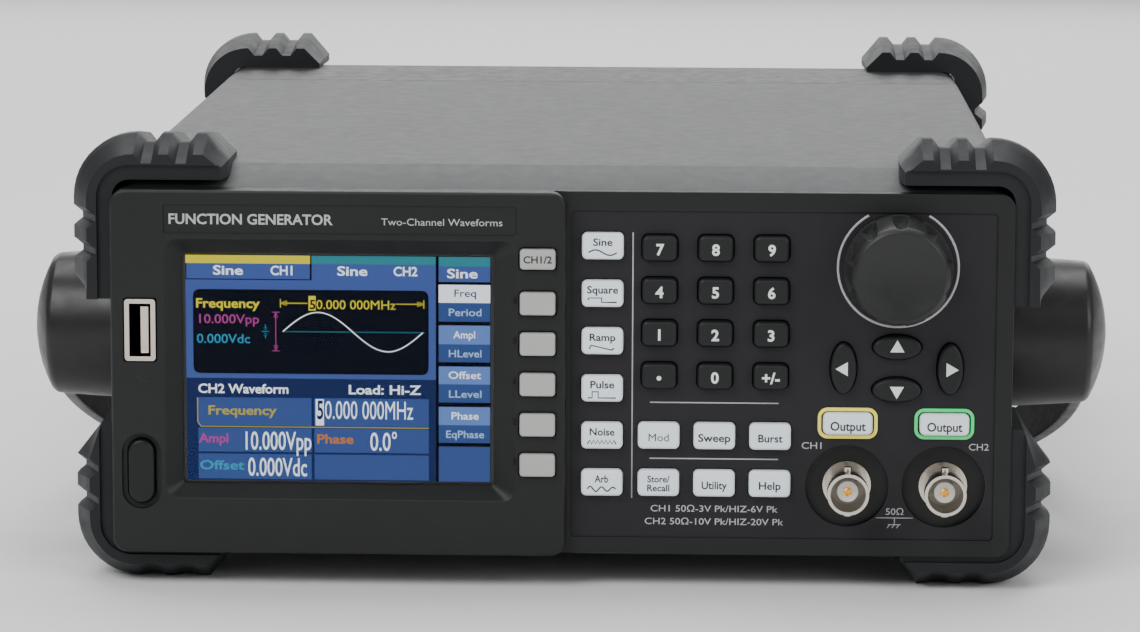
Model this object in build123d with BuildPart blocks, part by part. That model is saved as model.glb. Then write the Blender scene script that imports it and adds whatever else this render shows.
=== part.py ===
from build123d import *
import os

os.makedirs("parts", exist_ok=True)

# Function generator, millimetres. +X right, +Y to the back, +Z up, the front panel faces -Y.
# The origin is under the middle of the whole object, on the surface that it stands on.

# ---------------------------------------------------------------- driving sizes
bumper_width = 229.0  # over the bumpers, side to side
bumper_height = 105.0  # over the bumpers, top to bottom
bumper_length = 281.0  # front face of the front bumpers to the back of the rear ones
bumper_side = 9.9  # rubber beside the case
bumper_foot = 7.9  # rubber under and over the case
case_wall = 2.5
case_corner = 5.0
clearance = 0.3  # between pieces that move past each other
running_gap = 0.05  # radial, shaft in bore

bezel_drop = 3.9  # the case top stands this much above the bezel
module_rise = 4.0  # display half in front of the key half
module_width = 105.7
module_wall = 2.4
module_side = 1.3
bezel_thickness = 3.4
bezel_corner = 3.4
slope_length = 15.0  # sloped strip at the front of the case top
panel_recess = 0.4
panel_thickness = 1.0
panel_border = 4.0
key_travel = 1.0
mat_depth = 9.0  # panel face to keypad mat
mat_thickness = 1.0
board_thickness = 1.6

screen_width = 71.0  # viewing area, 4 to 3
screen_height = 53.3
screen_depth = 3.5  # display half's face to the window
window_thickness = 1.0
lcd_thickness = 3.2
lcd_rim = 2.6

knob_radius = 12.6
knob_front_radius = 11.4
knob_length = 15.7
knob_gap = 0.8
shaft_radius = 3.0
bushing_radius = 4.4

bnc_radius = 4.83
bnc_neck_radius = 4.6  # behind the lugs and through the wall
bnc_lug_radius = 0.95
bnc_lug_setback = 4.6  # mouth to the middle of the lugs
bnc_reach = 11.0
dish_radius = 9.7
dish_depth = 2.0

rear_housing_length = 44.0
rear_overhang = 23.0  # rear bumpers behind the rear housing
rear_plate_thickness = 3.0
rear_rim = 3.0
tongue_length = 6.0
tongue_root = 4.0
tongue_thickness = 2.0

bumper_depth = 32.0
bumper_crest = 8.0  # front face to the widest band
bumper_band = 5.0
bumper_draft_front = 4.0
bumper_draft_back = 2.4
bumper_radius = 14.8
bumper_leg = 36.4
bumper_side_leg = 38.0
notch_depth = 2.1
foot_notch_depth = 0.6
lip_width = 3.5
lip_recess = 1.0

hub_reach = 26.4  # case side to the hub's outer face
hub_radius = 18.6
hub_rim_radius = 17.2
hub_dome = 4.2
pivot_setback = 57.0  # panel face to pivot line
pivot_radius = 5.0
pivot_depth = 14.0  # pin inside the hub
bail_thickness = 3.2
bail_corner = 32.0
grip_depth = 32.0
grip_reach = 109.0  # pivot line to the middle of the grip
grip_clearance = 1.0

# ---------------------------------------------------------------- derived places
panel_y = -(bumper_length + knob_length + knob_gap) / 2 + knob_length + knob_gap
rear_y = panel_y + bumper_length
half_width = bumper_width / 2
case_half = half_width - bumper_side
case_width = 2 * case_half
case_bottom = bumper_foot
case_top = bumper_height - bumper_foot
mid_z = bumper_height / 2
bezel_top = case_top - bezel_drop
bezel_height = bezel_top - case_bottom
bezel_mid = (bezel_top + case_bottom) / 2
housing_back = bumper_length - rear_overhang
case_back = housing_back - rear_housing_length
slope_end = bezel_thickness + slope_length
split_x = -case_half + module_width
module_face = -module_rise
panel_face = panel_recess
plate_front = panel_recess + panel_thickness
board_front = mat_depth + mat_thickness
board_back = board_front + board_thickness
panel_left = split_x + 1.0
panel_right = case_half - panel_border
panel_bottom = case_bottom + panel_border
panel_top = bezel_top - panel_border - 0.5
pivot_z = mid_z
pivot_y = panel_y + pivot_setback


def facing(depth):
    """A drawing plane that faces the front, this far behind the panel face: across is X, up is Z."""
    return Plane.XZ.offset(-(panel_y + depth))


def sideways(x):
    """A drawing plane across X at x: across is Y, up is Z, and it faces +X."""
    return Plane.YZ.offset(x)


def rounded_section(depth, inset, top):
    """The case's cross-section, shrunk all round by inset."""
    low = case_bottom + inset
    high = top - inset
    with BuildSketch(facing(depth)) as section:
        with Locations((0, (low + high) / 2)):
            RectangleRounded(case_width - 2 * inset, high - low, case_corner - inset / 2)
    return section.sketch


def cap_height(radius, rise, reach):
    """Height lost by a spherical cap of this rim radius and rise, at a distance from its axis."""
    sphere = (radius**2 + rise**2) / (2 * rise)
    return sphere - (sphere**2 - reach**2) ** 0.5


def write(part, name):
    part.label = name
    export_step(part, f"parts/{name}.step")


# ---------------------------------------------------------------- where the controls stand
# Places are (x, z). The wave and number keys are set out from the split between the halves,
# the knob group from the right edge, the display from the left edge, and heights from the middle.
wave_x = split_x + 8.4
number_x = split_x + 21.6
number_pitch = 12.95
knob_x = case_half - 26.8
left_control_x = -case_half + 6.9
menu_x = split_x - 6.5
screen_x = split_x - 53.1
screen_z = mid_z - 1.4

wave_names = ["sine", "square", "ramp", "pulse", "noise", "arb"]
wave_top = mid_z + 28.1
wave_pitch = 11.13
number_names = ["7", "8", "9", "4", "5", "6", "1", "2", "3", "point", "0", "sign"]
number_top = mid_z + 27.7
number_row_pitch = 9.97
function_names = ["mod", "sweep", "burst", "store", "utility", "help"]
function_top = mid_z - 16.3
function_pitch = 11.2
menu_top = mid_z + 15.05
menu_pitch = 9.48

channel_place = (menu_x, mid_z + 25.4)
menu_places = [(menu_x, menu_top - row * menu_pitch) for row in range(5)]
wave_places = [(wave_x, wave_top - row * wave_pitch) for row in range(6)]
number_places = [
    (number_x + column * number_pitch, number_top - row * number_row_pitch)
    for row in range(4)
    for column in range(3)
]
function_places = [
    (number_x + column * number_pitch, function_top - row * function_pitch)
    for row in range(2)
    for column in range(3)
]
knob_place = (knob_x, mid_z + 23.5)
arrow_centre_z = mid_z - 0.1
arrow_places = {
    "up": (knob_x, arrow_centre_z + 5.0),
    "down": (knob_x, arrow_centre_z - 5.0),
    "left": (knob_x - 12.35, arrow_centre_z),
    "right": (knob_x + 12.35, arrow_centre_z),
}
output_spread = 11.2
output_places = [(knob_x - output_spread, mid_z - 13.1), (knob_x + output_spread, mid_z - 13.1)]
bnc_places = [(knob_x - output_spread, mid_z - 28.0), (knob_x + output_spread, mid_z - 28.0)]
usb_place = (left_control_x, mid_z + 8.0)
power_place = (left_control_x, mid_z - 25.3)

wave_size = (9.65, 6.2, 1.2)  # width, height, corner radius
number_size = (8.1, 6.0, 1.4)
menu_size = (8.2, 5.3, 0.8)
channel_size = (8.2, 4.7, 0.8)
output_size = (11.5, 5.2, 1.3)
power_size = (6.1, 14.9)
power_recess = (9.0, 17.7)
power_recess_depth = 1.0
arrow_flat = (5.65, 2.85)  # half axes of the up and down keys
arrow_tall = (3.0, 5.95)  # half axes of the left and right keys
usb_lip = (7.2, 14.5)
usb_shell = (5.8, 13.2)
usb_wall = 0.4


# ---------------------------------------------------------------- keys
def cap_outline(kind, size, grow=0.0):
    """One key's outline at the current locations, grown for its opening."""
    if kind == "ellipse":
        Ellipse(size[0] + grow, size[1] + grow)
    elif kind == "slot":
        SlotOverall(size[1] + 2 * grow, size[0] + 2 * grow, rotation=90)
    else:
        RectangleRounded(size[0] + 2 * grow, size[1] + 2 * grow, size[2] + grow)


def make_key(name, place, kind, size, face, wall_back, proud, edge):
    """A cap that stands proud of its face, a flange behind the wall and a plunger to the mat."""
    flange_front = wall_back + clearance
    flange_thickness = 1.0
    plunger_end = mat_depth - key_travel - clearance
    with BuildPart() as key:
        with BuildSketch(facing(face - proud)):
            with Locations(place):
                cap_outline(kind, size)
        extrude(amount=-(flange_front - face + proud))
        fillet(key.faces().sort_by(Axis.Y)[0].edges(), edge)
        with BuildSketch(facing(flange_front)):
            with Locations(place):
                cap_outline(kind, size, grow=0.7)
        extrude(amount=-flange_thickness)
        with BuildSketch(facing(flange_front + flange_thickness)):
            with Locations(place):
                Circle(1.6)
        extrude(amount=-(plunger_end - flange_front - flange_thickness))
    write(key.part, name)


module_back = module_face + module_wall
soft_keys = [("channel_key", channel_place, channel_size)]
soft_keys += [(f"menu_key_{row + 1}", place, menu_size) for row, place in enumerate(menu_places)]
for name, place, size in soft_keys:
    make_key(name, place, "rounded", size, module_face, module_back, 1.5, 0.5)

panel_keys = [(f"{name}_key", place, wave_size) for name, place in zip(wave_names, wave_places)]
panel_keys += [(f"{name}_key", place, wave_size) for name, place in zip(function_names, function_places)]
panel_keys += [(f"output_key_{side + 1}", place, output_size) for side, place in enumerate(output_places)]
for name, place, size in panel_keys:
    make_key(name, place, "rounded", size, panel_face, bezel_thickness, 1.8, 0.7)

number_keys = [(f"number_key_{name}", place) for name, place in zip(number_names, number_places)]
for name, place in number_keys:
    make_key(name, place, "rounded", number_size, panel_face, bezel_thickness, 2.2, 0.9)

for name, place in arrow_places.items():
    arrow_size = arrow_flat if name in ("up", "down") else arrow_tall
    make_key(f"arrow_key_{name}", place, "ellipse", arrow_size, panel_face, bezel_thickness, 2.0, 0.8)

make_key("power_button", power_place, "slot", power_size, module_face, module_back, 0.8, 0.7)

# ---------------------------------------------------------------- front bezel
window_face = module_face + screen_depth
mask_width = screen_width + 1.4
mask_height = screen_height + 0.9
frame_width = mask_width + 9.3
frame_height = mask_height + 6.9
frame_x = screen_x + 0.8
frame_z = screen_z + 0.3
shelf_wall = 1.5
title_height = 6.7
title_depth = 0.4
rebate = 1.6

with BuildPart() as front_bezel:
    with BuildSketch(facing(0)) as plate:
        with Locations((0, bezel_mid)):
            RectangleRounded(case_width, bezel_height, bezel_corner)
    extrude(amount=-bezel_thickness)
    with BuildSketch(facing(module_face)) as module:
        with Locations((split_x - module_width / 2, bezel_mid)):
            RectangleRounded(module_width, bezel_height, bezel_corner)
    extrude(amount=-(module_rise + bezel_thickness))
    chamfer(front_bezel.faces().sort_by(Axis.Y)[0].edges(), 0.5)
    # behind the display half the block is hollow
    with BuildSketch(facing(module_back)) as hollow:
        with Locations((split_x - module_width / 2, bezel_mid)):
            RectangleRounded(module_width - 2 * module_side, bezel_height - 2 * module_side, 1.5)
    extrude(amount=-(bezel_thickness - module_back), mode=Mode.SUBTRACT)
    # frame round the display: a bevelled funnel inside a block that carries the window
    with BuildSketch(facing(module_back)) as funnel_block:
        with Locations((screen_x, screen_z)):
            Rectangle(
                mask_width + 2 * (rebate + shelf_wall),
                mask_height + 2 * (rebate + shelf_wall),
            )
    extrude(amount=-(window_face + window_thickness - module_back))
    funnel_mouth = (frame_width, frame_height, 3.0)
    with BuildSketch(facing(module_face)) as mouth:
        with Locations((frame_x, frame_z)):
            RectangleRounded(*funnel_mouth)
    with BuildSketch(facing(window_face)) as throat:
        with Locations((screen_x, screen_z)):
            RectangleRounded(mask_width, mask_height, 0.8)
    loft(ruled=True, mode=Mode.SUBTRACT)
    with BuildSketch(facing(window_face)) as window_seat:
        with Locations((screen_x, screen_z)):
            Rectangle(mask_width + 2 * rebate, mask_height + 2 * rebate)
    extrude(amount=-window_thickness, mode=Mode.SUBTRACT)
    # shallow title strip above the display
    with BuildSketch(facing(module_face)) as title_strip:
        with Locations((frame_x, frame_z + frame_height / 2 + 1.3 + title_height / 2)):
            RectangleRounded(frame_width, title_height, 0.6)
    extrude(amount=-title_depth, mode=Mode.SUBTRACT)
    # openings in the display half
    with BuildSketch(facing(module_face)) as module_openings:
        for soft_name, soft_place, soft_size in soft_keys:
            with Locations(soft_place):
                cap_outline("rounded", soft_size, clearance)
        with Locations(usb_place):
            RectangleRounded(usb_lip[0] + 0.6, usb_lip[1] + 0.6, 0.8)
        with Locations(power_place):
            cap_outline("slot", power_size, clearance)
    extrude(amount=-module_wall, mode=Mode.SUBTRACT)
    with BuildSketch(facing(module_face)) as power_dish:
        with Locations(power_place):
            SlotOverall(power_recess[1], power_recess[0], rotation=90)
    extrude(amount=-power_recess_depth, mode=Mode.SUBTRACT)
    # recess for the key panel and the openings behind it
    with BuildSketch(facing(0)) as panel_seat:
        with Locations(((panel_left + panel_right) / 2, (panel_bottom + panel_top) / 2)):
            RectangleRounded(panel_right - panel_left, panel_top - panel_bottom, 1.0)
    extrude(amount=-plate_front, mode=Mode.SUBTRACT)
    with BuildSketch(facing(plate_front)) as plate_openings:
        for key_name, key_place, key_size in panel_keys:
            with Locations(key_place):
                cap_outline("rounded", key_size, clearance)
        for key_name, key_place in number_keys:
            with Locations(key_place):
                cap_outline("rounded", number_size, clearance)
        for arrow_name, arrow_place in arrow_places.items():
            with Locations(arrow_place):
                cap_outline("ellipse", arrow_flat if arrow_name in ("up", "down") else arrow_tall, clearance)
        with Locations(knob_place):
            Circle(bushing_radius)
        with Locations(*bnc_places):
            Circle(bnc_neck_radius)
    extrude(amount=-(bezel_thickness - plate_front), mode=Mode.SUBTRACT)
    with BuildSketch(facing(panel_face)) as dishes:
        with Locations(*bnc_places):
            Circle(dish_radius)
    extrude(amount=-dish_depth, mode=Mode.SUBTRACT)
    # skirt that plugs into the case
    with BuildSketch(facing(bezel_thickness)) as skirt:
        with Locations((0, bezel_mid)):
            RectangleRounded(
                case_width - 2 * case_wall,
                bezel_height - 2 * case_wall,
                case_corner - case_wall / 2,
            )
            RectangleRounded(
                case_width - 2 * case_wall - 2 * tongue_thickness,
                bezel_height - 2 * case_wall - 2 * tongue_thickness,
                1.0,
                mode=Mode.SUBTRACT,
            )
        with Locations(usb_place):
            Rectangle(usb_shell[0] + 1.0, usb_shell[1] + 1.0, mode=Mode.SUBTRACT)
    extrude(amount=-tongue_length)
write(front_bezel.part, "front_bezel")

# ---------------------------------------------------------------- key panel overlay
with BuildPart() as key_panel:
    with BuildSketch(facing(panel_face)) as overlay:
        with Locations(((panel_left + panel_right) / 2, (panel_bottom + panel_top) / 2)):
            RectangleRounded(panel_right - panel_left, panel_top - panel_bottom, 1.0)
        for key_name, key_place, key_size in panel_keys:
            with Locations(key_place):
                RectangleRounded(
                    key_size[0] + 2 * clearance,
                    key_size[1] + 2 * clearance,
                    key_size[2] + clearance,
                    mode=Mode.SUBTRACT,
                )
        for key_name, key_place in number_keys:
            with Locations(key_place):
                RectangleRounded(
                    number_size[0] + 2 * clearance,
                    number_size[1] + 2 * clearance,
                    number_size[2] + clearance,
                    mode=Mode.SUBTRACT,
                )
        for arrow_name, arrow_place in arrow_places.items():
            half_axes = arrow_flat if arrow_name in ("up", "down") else arrow_tall
            with Locations(arrow_place):
                Ellipse(half_axes[0] + clearance, half_axes[1] + clearance, mode=Mode.SUBTRACT)
        with Locations(knob_place):
            Circle(bushing_radius, mode=Mode.SUBTRACT)
        with Locations(*bnc_places):
            Circle(dish_radius, mode=Mode.SUBTRACT)
    extrude(amount=-panel_thickness)
write(key_panel.part, "key_panel")

# ---------------------------------------------------------------- display
with BuildPart() as display_window:
    with BuildSketch(facing(window_face)):
        with Locations((screen_x, screen_z)):
            Rectangle(mask_width + 2 * rebate, mask_height + 2 * rebate)
    extrude(amount=-window_thickness)
write(display_window.part, "display_window")

lcd_front = window_face + window_thickness
with BuildPart() as lcd_module:
    with BuildSketch(facing(lcd_front)):
        with Locations((screen_x, screen_z)):
            Rectangle(screen_width + 2 * lcd_rim, screen_height + 2 * lcd_rim)
    extrude(amount=-lcd_thickness)
    chamfer(lcd_module.edges().filter_by(Axis.Y), 0.8)
    with BuildSketch(facing(lcd_front + lcd_thickness)):
        with Locations((screen_x, screen_z - screen_height / 2)):
            Rectangle(22.0, 3.0)
    extrude(amount=-(mat_depth - lcd_front - lcd_thickness))
write(lcd_module.part, "lcd_module")

# ---------------------------------------------------------------- keypad mat and front board
inner_half = case_half - case_wall - tongue_thickness
inner_low = case_bottom + case_wall + tongue_thickness
inner_high = bezel_top - case_wall - tongue_thickness
bnc_body_radius = 6.0

with BuildPart() as keypad_mat:
    with BuildSketch(facing(mat_depth)):
        with Locations((0, (inner_low + inner_high) / 2)):
            RectangleRounded(2 * inner_half - 2, inner_high - inner_low - 2, 2.0)
        with Locations(knob_place):
            Rectangle(13.0, 13.0, mode=Mode.SUBTRACT)
        with Locations(*bnc_places):
            Circle(bnc_body_radius + 1.0, mode=Mode.SUBTRACT)
        with Locations(usb_place):
            Rectangle(usb_lip[0] + 2, usb_lip[1] + 2, mode=Mode.SUBTRACT)
    extrude(amount=-mat_thickness)
write(keypad_mat.part, "keypad_mat")

with BuildPart() as front_board:
    with BuildSketch(facing(board_front)):
        with Locations((0, (inner_low + inner_high) / 2)):
            Rectangle(2 * inner_half - 2, inner_high - inner_low - 2)
        with Locations(*bnc_places):
            Circle(bnc_body_radius + 1.0, mode=Mode.SUBTRACT)
    extrude(amount=-board_thickness)
    with BuildSketch(facing(board_back)):
        with Locations((screen_x, screen_z)):
            Rectangle(18.0, 18.0)
        with Locations((screen_x + 35.0, screen_z - 18.0)):
            Rectangle(24.0, 7.0)
        with Locations((number_x + number_pitch, mid_z)):
            Rectangle(12.0, 12.0)
    extrude(amount=-2.4)
write(front_board.part, "front_board")

# ---------------------------------------------------------------- knob, encoder and shaft
encoder_front = bezel_thickness + 0.2
knob_back = panel_face - knob_gap
knob_face = knob_back - knob_length
shaft_front = knob_face + 3.4
knob_bore_depth = knob_back - shaft_front + 0.4
dish_sag = 1.6
dish_rim = knob_front_radius - 1.2
knob_axis = Axis((knob_place[0], 0, knob_place[1]), (0, 1, 0))

with BuildPart() as knob:
    with BuildSketch(Plane.XY.offset(knob_place[1])) as knob_profile:
        with BuildLine() as knob_line:
            rim_y = panel_y + knob_face
            base_y = panel_y + knob_back
            Line((knob_x, base_y), (knob_x + knob_radius, base_y))
            Line((knob_x + knob_radius, base_y), (knob_x + knob_radius, base_y - 2.0))
            Line((knob_x + knob_radius, base_y - 2.0), (knob_x + knob_front_radius, rim_y + 1.2))
            Line((knob_x + knob_front_radius, rim_y + 1.2), (knob_x + dish_rim, rim_y))
            ThreePointArc(
                (knob_x + dish_rim, rim_y),
                (knob_x + dish_rim / 2, rim_y + dish_sag - cap_height(dish_rim, dish_sag, dish_rim / 2)),
                (knob_x, rim_y + dish_sag),
            )
            Line((knob_x, rim_y + dish_sag), (knob_x, base_y))
        make_face()
    revolve(axis=knob_axis)
    with BuildSketch(facing(knob_face)) as flutes:
        with Locations(knob_place):
            with PolarLocations(knob_radius + 0.4, 10, start_angle=18):
                Circle(2.1)
    extrude(amount=-(knob_length - 2.0), mode=Mode.SUBTRACT)
    with BuildSketch(facing(knob_back)) as knob_bore:
        with Locations(knob_place):
            Circle(shaft_radius + running_gap)
    extrude(amount=knob_bore_depth, mode=Mode.SUBTRACT)
write(knob.part, "knob")

with BuildPart() as encoder_shaft:
    with BuildSketch(facing(shaft_front)):
        with Locations(knob_place):
            Circle(shaft_radius)
    extrude(amount=-(encoder_front + 5.0 - shaft_front))
write(encoder_shaft.part, "encoder_shaft")

with BuildPart() as encoder:
    with BuildSketch(facing(encoder_front)):
        with Locations(knob_place):
            Rectangle(12.0, 12.0)
    extrude(amount=-(board_front - encoder_front))
    with BuildSketch(facing(panel_face)):
        with Locations(knob_place):
            Circle(bushing_radius - 0.1)
    extrude(amount=-(encoder_front - panel_face))
    with BuildSketch(facing(panel_face)):
        with Locations(knob_place):
            Circle(shaft_radius + running_gap)
    extrude(amount=-(encoder_front + 5.0 + clearance - panel_face), mode=Mode.SUBTRACT)
write(encoder.part, "encoder")

# ---------------------------------------------------------------- sockets
usb_front = module_face - 0.2
rear_plate_front = housing_back - rear_rim - rear_plate_thickness
rear_face = housing_back - rear_rim
rear_bnc_places = [(-case_half + 24.0 + 24.0 * spot, mid_z + 14.0) for spot in range(4)]
usb_rear_place = (-case_half + 124.0, mid_z + 14.0)
inlet_place = (case_half - 31.0, mid_z + 6.0)
usb_b = (11.6, 10.5)
bnc_insulator_radius = 2.4
bnc_inner_radius = 4.1
bnc_core_depth = 4.0  # mouth to the insulator's nose
bnc_body_length = 14.0
bnc_shoulder = 0.8
dish_floor = panel_face + dish_depth


def bnc_shell(place, seat, direction):
    """Barrel with two bayonet lugs, a low shoulder on its seat and a body behind the wall."""
    mouth = seat - direction * (bnc_reach + dish_depth)
    with BuildSketch(facing(mouth)) as tip:
        with Locations(place):
            Circle(bnc_radius)
    extrude(tip.sketch, amount=-direction * (bnc_lug_setback - bnc_lug_radius))
    with BuildSketch(facing(mouth)) as barrel:
        with Locations(place):
            Circle(bnc_neck_radius)
    extrude(barrel.sketch, amount=-direction * (bnc_reach + dish_depth + bnc_body_length))
    with BuildSketch(facing(seat)) as shoulder:
        with Locations(place):
            Circle(bnc_radius + bnc_shoulder)
    extrude(shoulder.sketch, amount=direction * bnc_shoulder)
    lug_depth = mouth + direction * bnc_lug_setback
    lug_plane = Plane((place[0], panel_y + lug_depth, place[1]), x_dir=(1, 0, 0), z_dir=(0, 0, 1))
    with BuildSketch(lug_plane) as lugs:
        Circle(bnc_lug_radius)
    extrude(lugs.sketch, amount=bnc_radius + 0.9, both=True)
    with BuildSketch(facing(mouth)) as cavity:
        with Locations(place):
            Circle(bnc_inner_radius)
    extrude(
        cavity.sketch,
        amount=-direction * (bnc_reach + dish_depth + bnc_body_length),
        mode=Mode.SUBTRACT,
    )


with BuildPart() as bnc_sockets:
    for place in bnc_places:
        bnc_shell(place, dish_floor, 1)
    for place in rear_bnc_places:
        bnc_shell(place, rear_face, -1)
write(bnc_sockets.part, "bnc_sockets")

with BuildPart() as usb_sockets:
    with BuildSketch(facing(usb_front)) as lip:
        with Locations(usb_place):
            RectangleRounded(usb_lip[0], usb_lip[1], 0.8)
            Rectangle(usb_shell[0] - 2 * usb_wall, usb_shell[1] - 2 * usb_wall, mode=Mode.SUBTRACT)
    extrude(amount=-0.8)
    with BuildSketch(facing(usb_front)) as shell:
        with Locations(usb_place):
            Rectangle(usb_shell[0], usb_shell[1])
            Rectangle(usb_shell[0] - 2 * usb_wall, usb_shell[1] - 2 * usb_wall, mode=Mode.SUBTRACT)
    extrude(amount=-(board_front - usb_front))
    with BuildSketch(facing(rear_face + 0.6)) as rear_lip:
        with Locations(usb_rear_place):
            Rectangle(usb_b[0], usb_b[1])
            Rectangle(usb_b[0] - 2.4, usb_b[1] - 2.4, mode=Mode.SUBTRACT)
    extrude(amount=14.0)
write(usb_sockets.part, "usb_sockets")

def bnc_core(place, seat, direction):
    """Insulator with a slim nose for the plug's sleeve to go over, and the centre contact."""
    mouth = seat - direction * (bnc_reach + dish_depth)
    with BuildSketch(facing(mouth + direction * bnc_core_depth)) as nose:
        with Locations(place):
            Circle(bnc_insulator_radius)
            Circle(0.45, mode=Mode.SUBTRACT)
    extrude(nose.sketch, amount=-direction * (9.5 - bnc_core_depth))
    with BuildSketch(facing(mouth + direction * 9.5)) as collar:
        with Locations(place):
            Circle(bnc_inner_radius)
    extrude(collar.sketch, amount=-direction * 11.5)
    with BuildSketch(facing(mouth + direction * 21.0)) as tail:
        with Locations(place):
            Circle(0.7)
    extrude(tail.sketch, amount=-direction * 5.0)


with BuildPart() as socket_cores:
    for place in bnc_places:
        bnc_core(place, dish_floor, 1)
    for place in rear_bnc_places:
        bnc_core(place, rear_face, -1)
    with BuildSketch(facing(usb_front + 1.5)):
        with Locations((usb_place[0] + 1.0, usb_place[1])):
            Rectangle(1.9, 11.1)
    extrude(amount=-(board_front - usb_front - 1.5))
    with BuildSketch(facing(rear_face - 1.0)):
        with Locations(usb_rear_place):
            Rectangle(5.6, 3.2)
    extrude(amount=12.0)
write(socket_cores.part, "socket_cores")

# ---------------------------------------------------------------- case shells
screw_radius = 1.5
screw_head_radius = 2.8
post_radius = 3.6
corner_post_inset = 14.0
bottom_screw_places = [
    (side * (case_half - corner_post_inset), panel_y + depth)
    for side in (-1, 1)
    for depth in (40.0, case_back - 14.0)
]
chassis_thickness = 1.2
chassis_gap = 1.0
chassis_floor = case_bottom + case_wall + chassis_gap


def case_form(inset, mode=Mode.ADD):
    """The closed outer form of the case, or of its hollow when inset is the wall."""
    front = rounded_section(bezel_thickness, inset, bezel_top)
    crest = rounded_section(slope_end, inset, case_top)
    loft([front, crest], ruled=True, mode=mode)
    extrude(crest, amount=-(case_back - slope_end), mode=mode)


with BuildPart() as upper_case:
    case_form(0)
    case_form(case_wall, mode=Mode.SUBTRACT)
    split(bisect_by=Plane.XY.offset(mid_z), keep=Keep.TOP)
    for side in (-1, 1):
        with BuildSketch(sideways(0)) as side_vents:
            with Locations((panel_y + case_back - 62.0, mid_z + 22.0)):
                with GridLocations(6.0, 1.0, 12, 1):
                    SlotOverall(22.0, 2.4, rotation=90)
        extrude(amount=side * (case_half + 1.0), mode=Mode.SUBTRACT)
        with BuildSketch(sideways(0)) as pivot_hole:
            with Locations((pivot_y, pivot_z)):
                Circle(pivot_radius)
        extrude(amount=side * (case_half + 1.0), mode=Mode.SUBTRACT)
    with BuildSketch(Plane.XY.offset(chassis_floor + 16.0)) as posts:
        with Locations(*bottom_screw_places):
            Circle(post_radius)
            Circle(screw_radius, mode=Mode.SUBTRACT)
    extrude(amount=case_top - case_wall - chassis_floor - 16.0)
write(upper_case.part, "upper_case")

with BuildPart() as lower_case:
    case_form(0)
    case_form(case_wall, mode=Mode.SUBTRACT)
    split(bisect_by=Plane.XY.offset(mid_z), keep=Keep.BOTTOM)
    for side in (-1, 1):
        with BuildSketch(sideways(0)) as pivot_hole:
            with Locations((pivot_y, pivot_z)):
                Circle(pivot_radius)
        extrude(amount=side * (case_half + 1.0), mode=Mode.SUBTRACT)
    with BuildSketch(Plane.XY.offset(case_bottom)) as lower_posts:
        with Locations(*bottom_screw_places):
            Circle(post_radius)
    extrude(amount=chassis_floor + 16.0 - case_bottom)
    with BuildSketch(Plane.XY.offset(case_bottom)) as counterbores:
        with Locations(*bottom_screw_places):
            Circle(screw_head_radius + clearance)
    extrude(amount=3.0, mode=Mode.SUBTRACT)
    with BuildSketch(Plane.XY.offset(case_bottom)) as screw_holes:
        with Locations(*bottom_screw_places):
            Circle(screw_radius + 0.1)
    extrude(amount=chassis_floor + 16.0 - case_bottom, mode=Mode.SUBTRACT)
    with BuildSketch(Plane.XY.offset(case_bottom)) as floor_vents:
        with Locations((0, panel_y + case_back - 40.0)):
            with GridLocations(7.0, 1.0, 14, 1):
                SlotOverall(24.0, 2.6, rotation=90)
    extrude(amount=case_wall, mode=Mode.SUBTRACT)
write(lower_case.part, "lower_case")

# ---------------------------------------------------------------- rear housing and panel
inlet_flange = (31.0, 24.0)
inlet_body = (27.2, 20.2)
inlet_depth = 20.0
rear_screw_places = [
    (side * (case_half - 9.0), mid_z + level * (mid_z - case_bottom - 9.0))
    for side in (-1, 1)
    for level in (-1, 1)
]

with BuildPart() as rear_panel:
    outer = rounded_section(case_back, 0, case_top)
    inner = rounded_section(case_back, case_wall, case_top)
    extrude(outer, amount=-rear_housing_length)
    extrude(inner, amount=-(rear_plate_front - case_back), mode=Mode.SUBTRACT)
    rim_section = rounded_section(rear_face, case_wall, case_top)
    extrude(rim_section, amount=-rear_rim, mode=Mode.SUBTRACT)
    tongue_outer = rounded_section(case_back + tongue_root, case_wall, case_top)
    tongue_inner = rounded_section(case_back + tongue_root, case_wall + tongue_thickness, case_top)
    extrude(tongue_outer, amount=tongue_length + tongue_root)
    extrude(tongue_inner, amount=tongue_length + tongue_root, mode=Mode.SUBTRACT)
    with BuildSketch(facing(rear_plate_front)) as rear_openings:
        with Locations(*rear_bnc_places):
            Circle(bnc_neck_radius)
        with Locations(usb_rear_place):
            Rectangle(usb_b[0], usb_b[1])
        with Locations(inlet_place):
            Rectangle(inlet_body[0], inlet_body[1])
        with Locations(*rear_screw_places):
            Circle(screw_radius + 0.1)
        with Locations((-case_half + 60.0, mid_z - 20.0)):
            with GridLocations(6.0, 1.0, 13, 1):
                SlotOverall(24.0, 2.6, rotation=90)
    extrude(amount=-rear_plate_thickness, mode=Mode.SUBTRACT)
    with BuildSketch(facing(rear_plate_front)) as rear_bosses:
        with Locations(*rear_screw_places):
            Circle(post_radius)
            Circle(screw_radius + 0.1, mode=Mode.SUBTRACT)
    extrude(amount=8.0)
write(rear_panel.part, "rear_panel")

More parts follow.
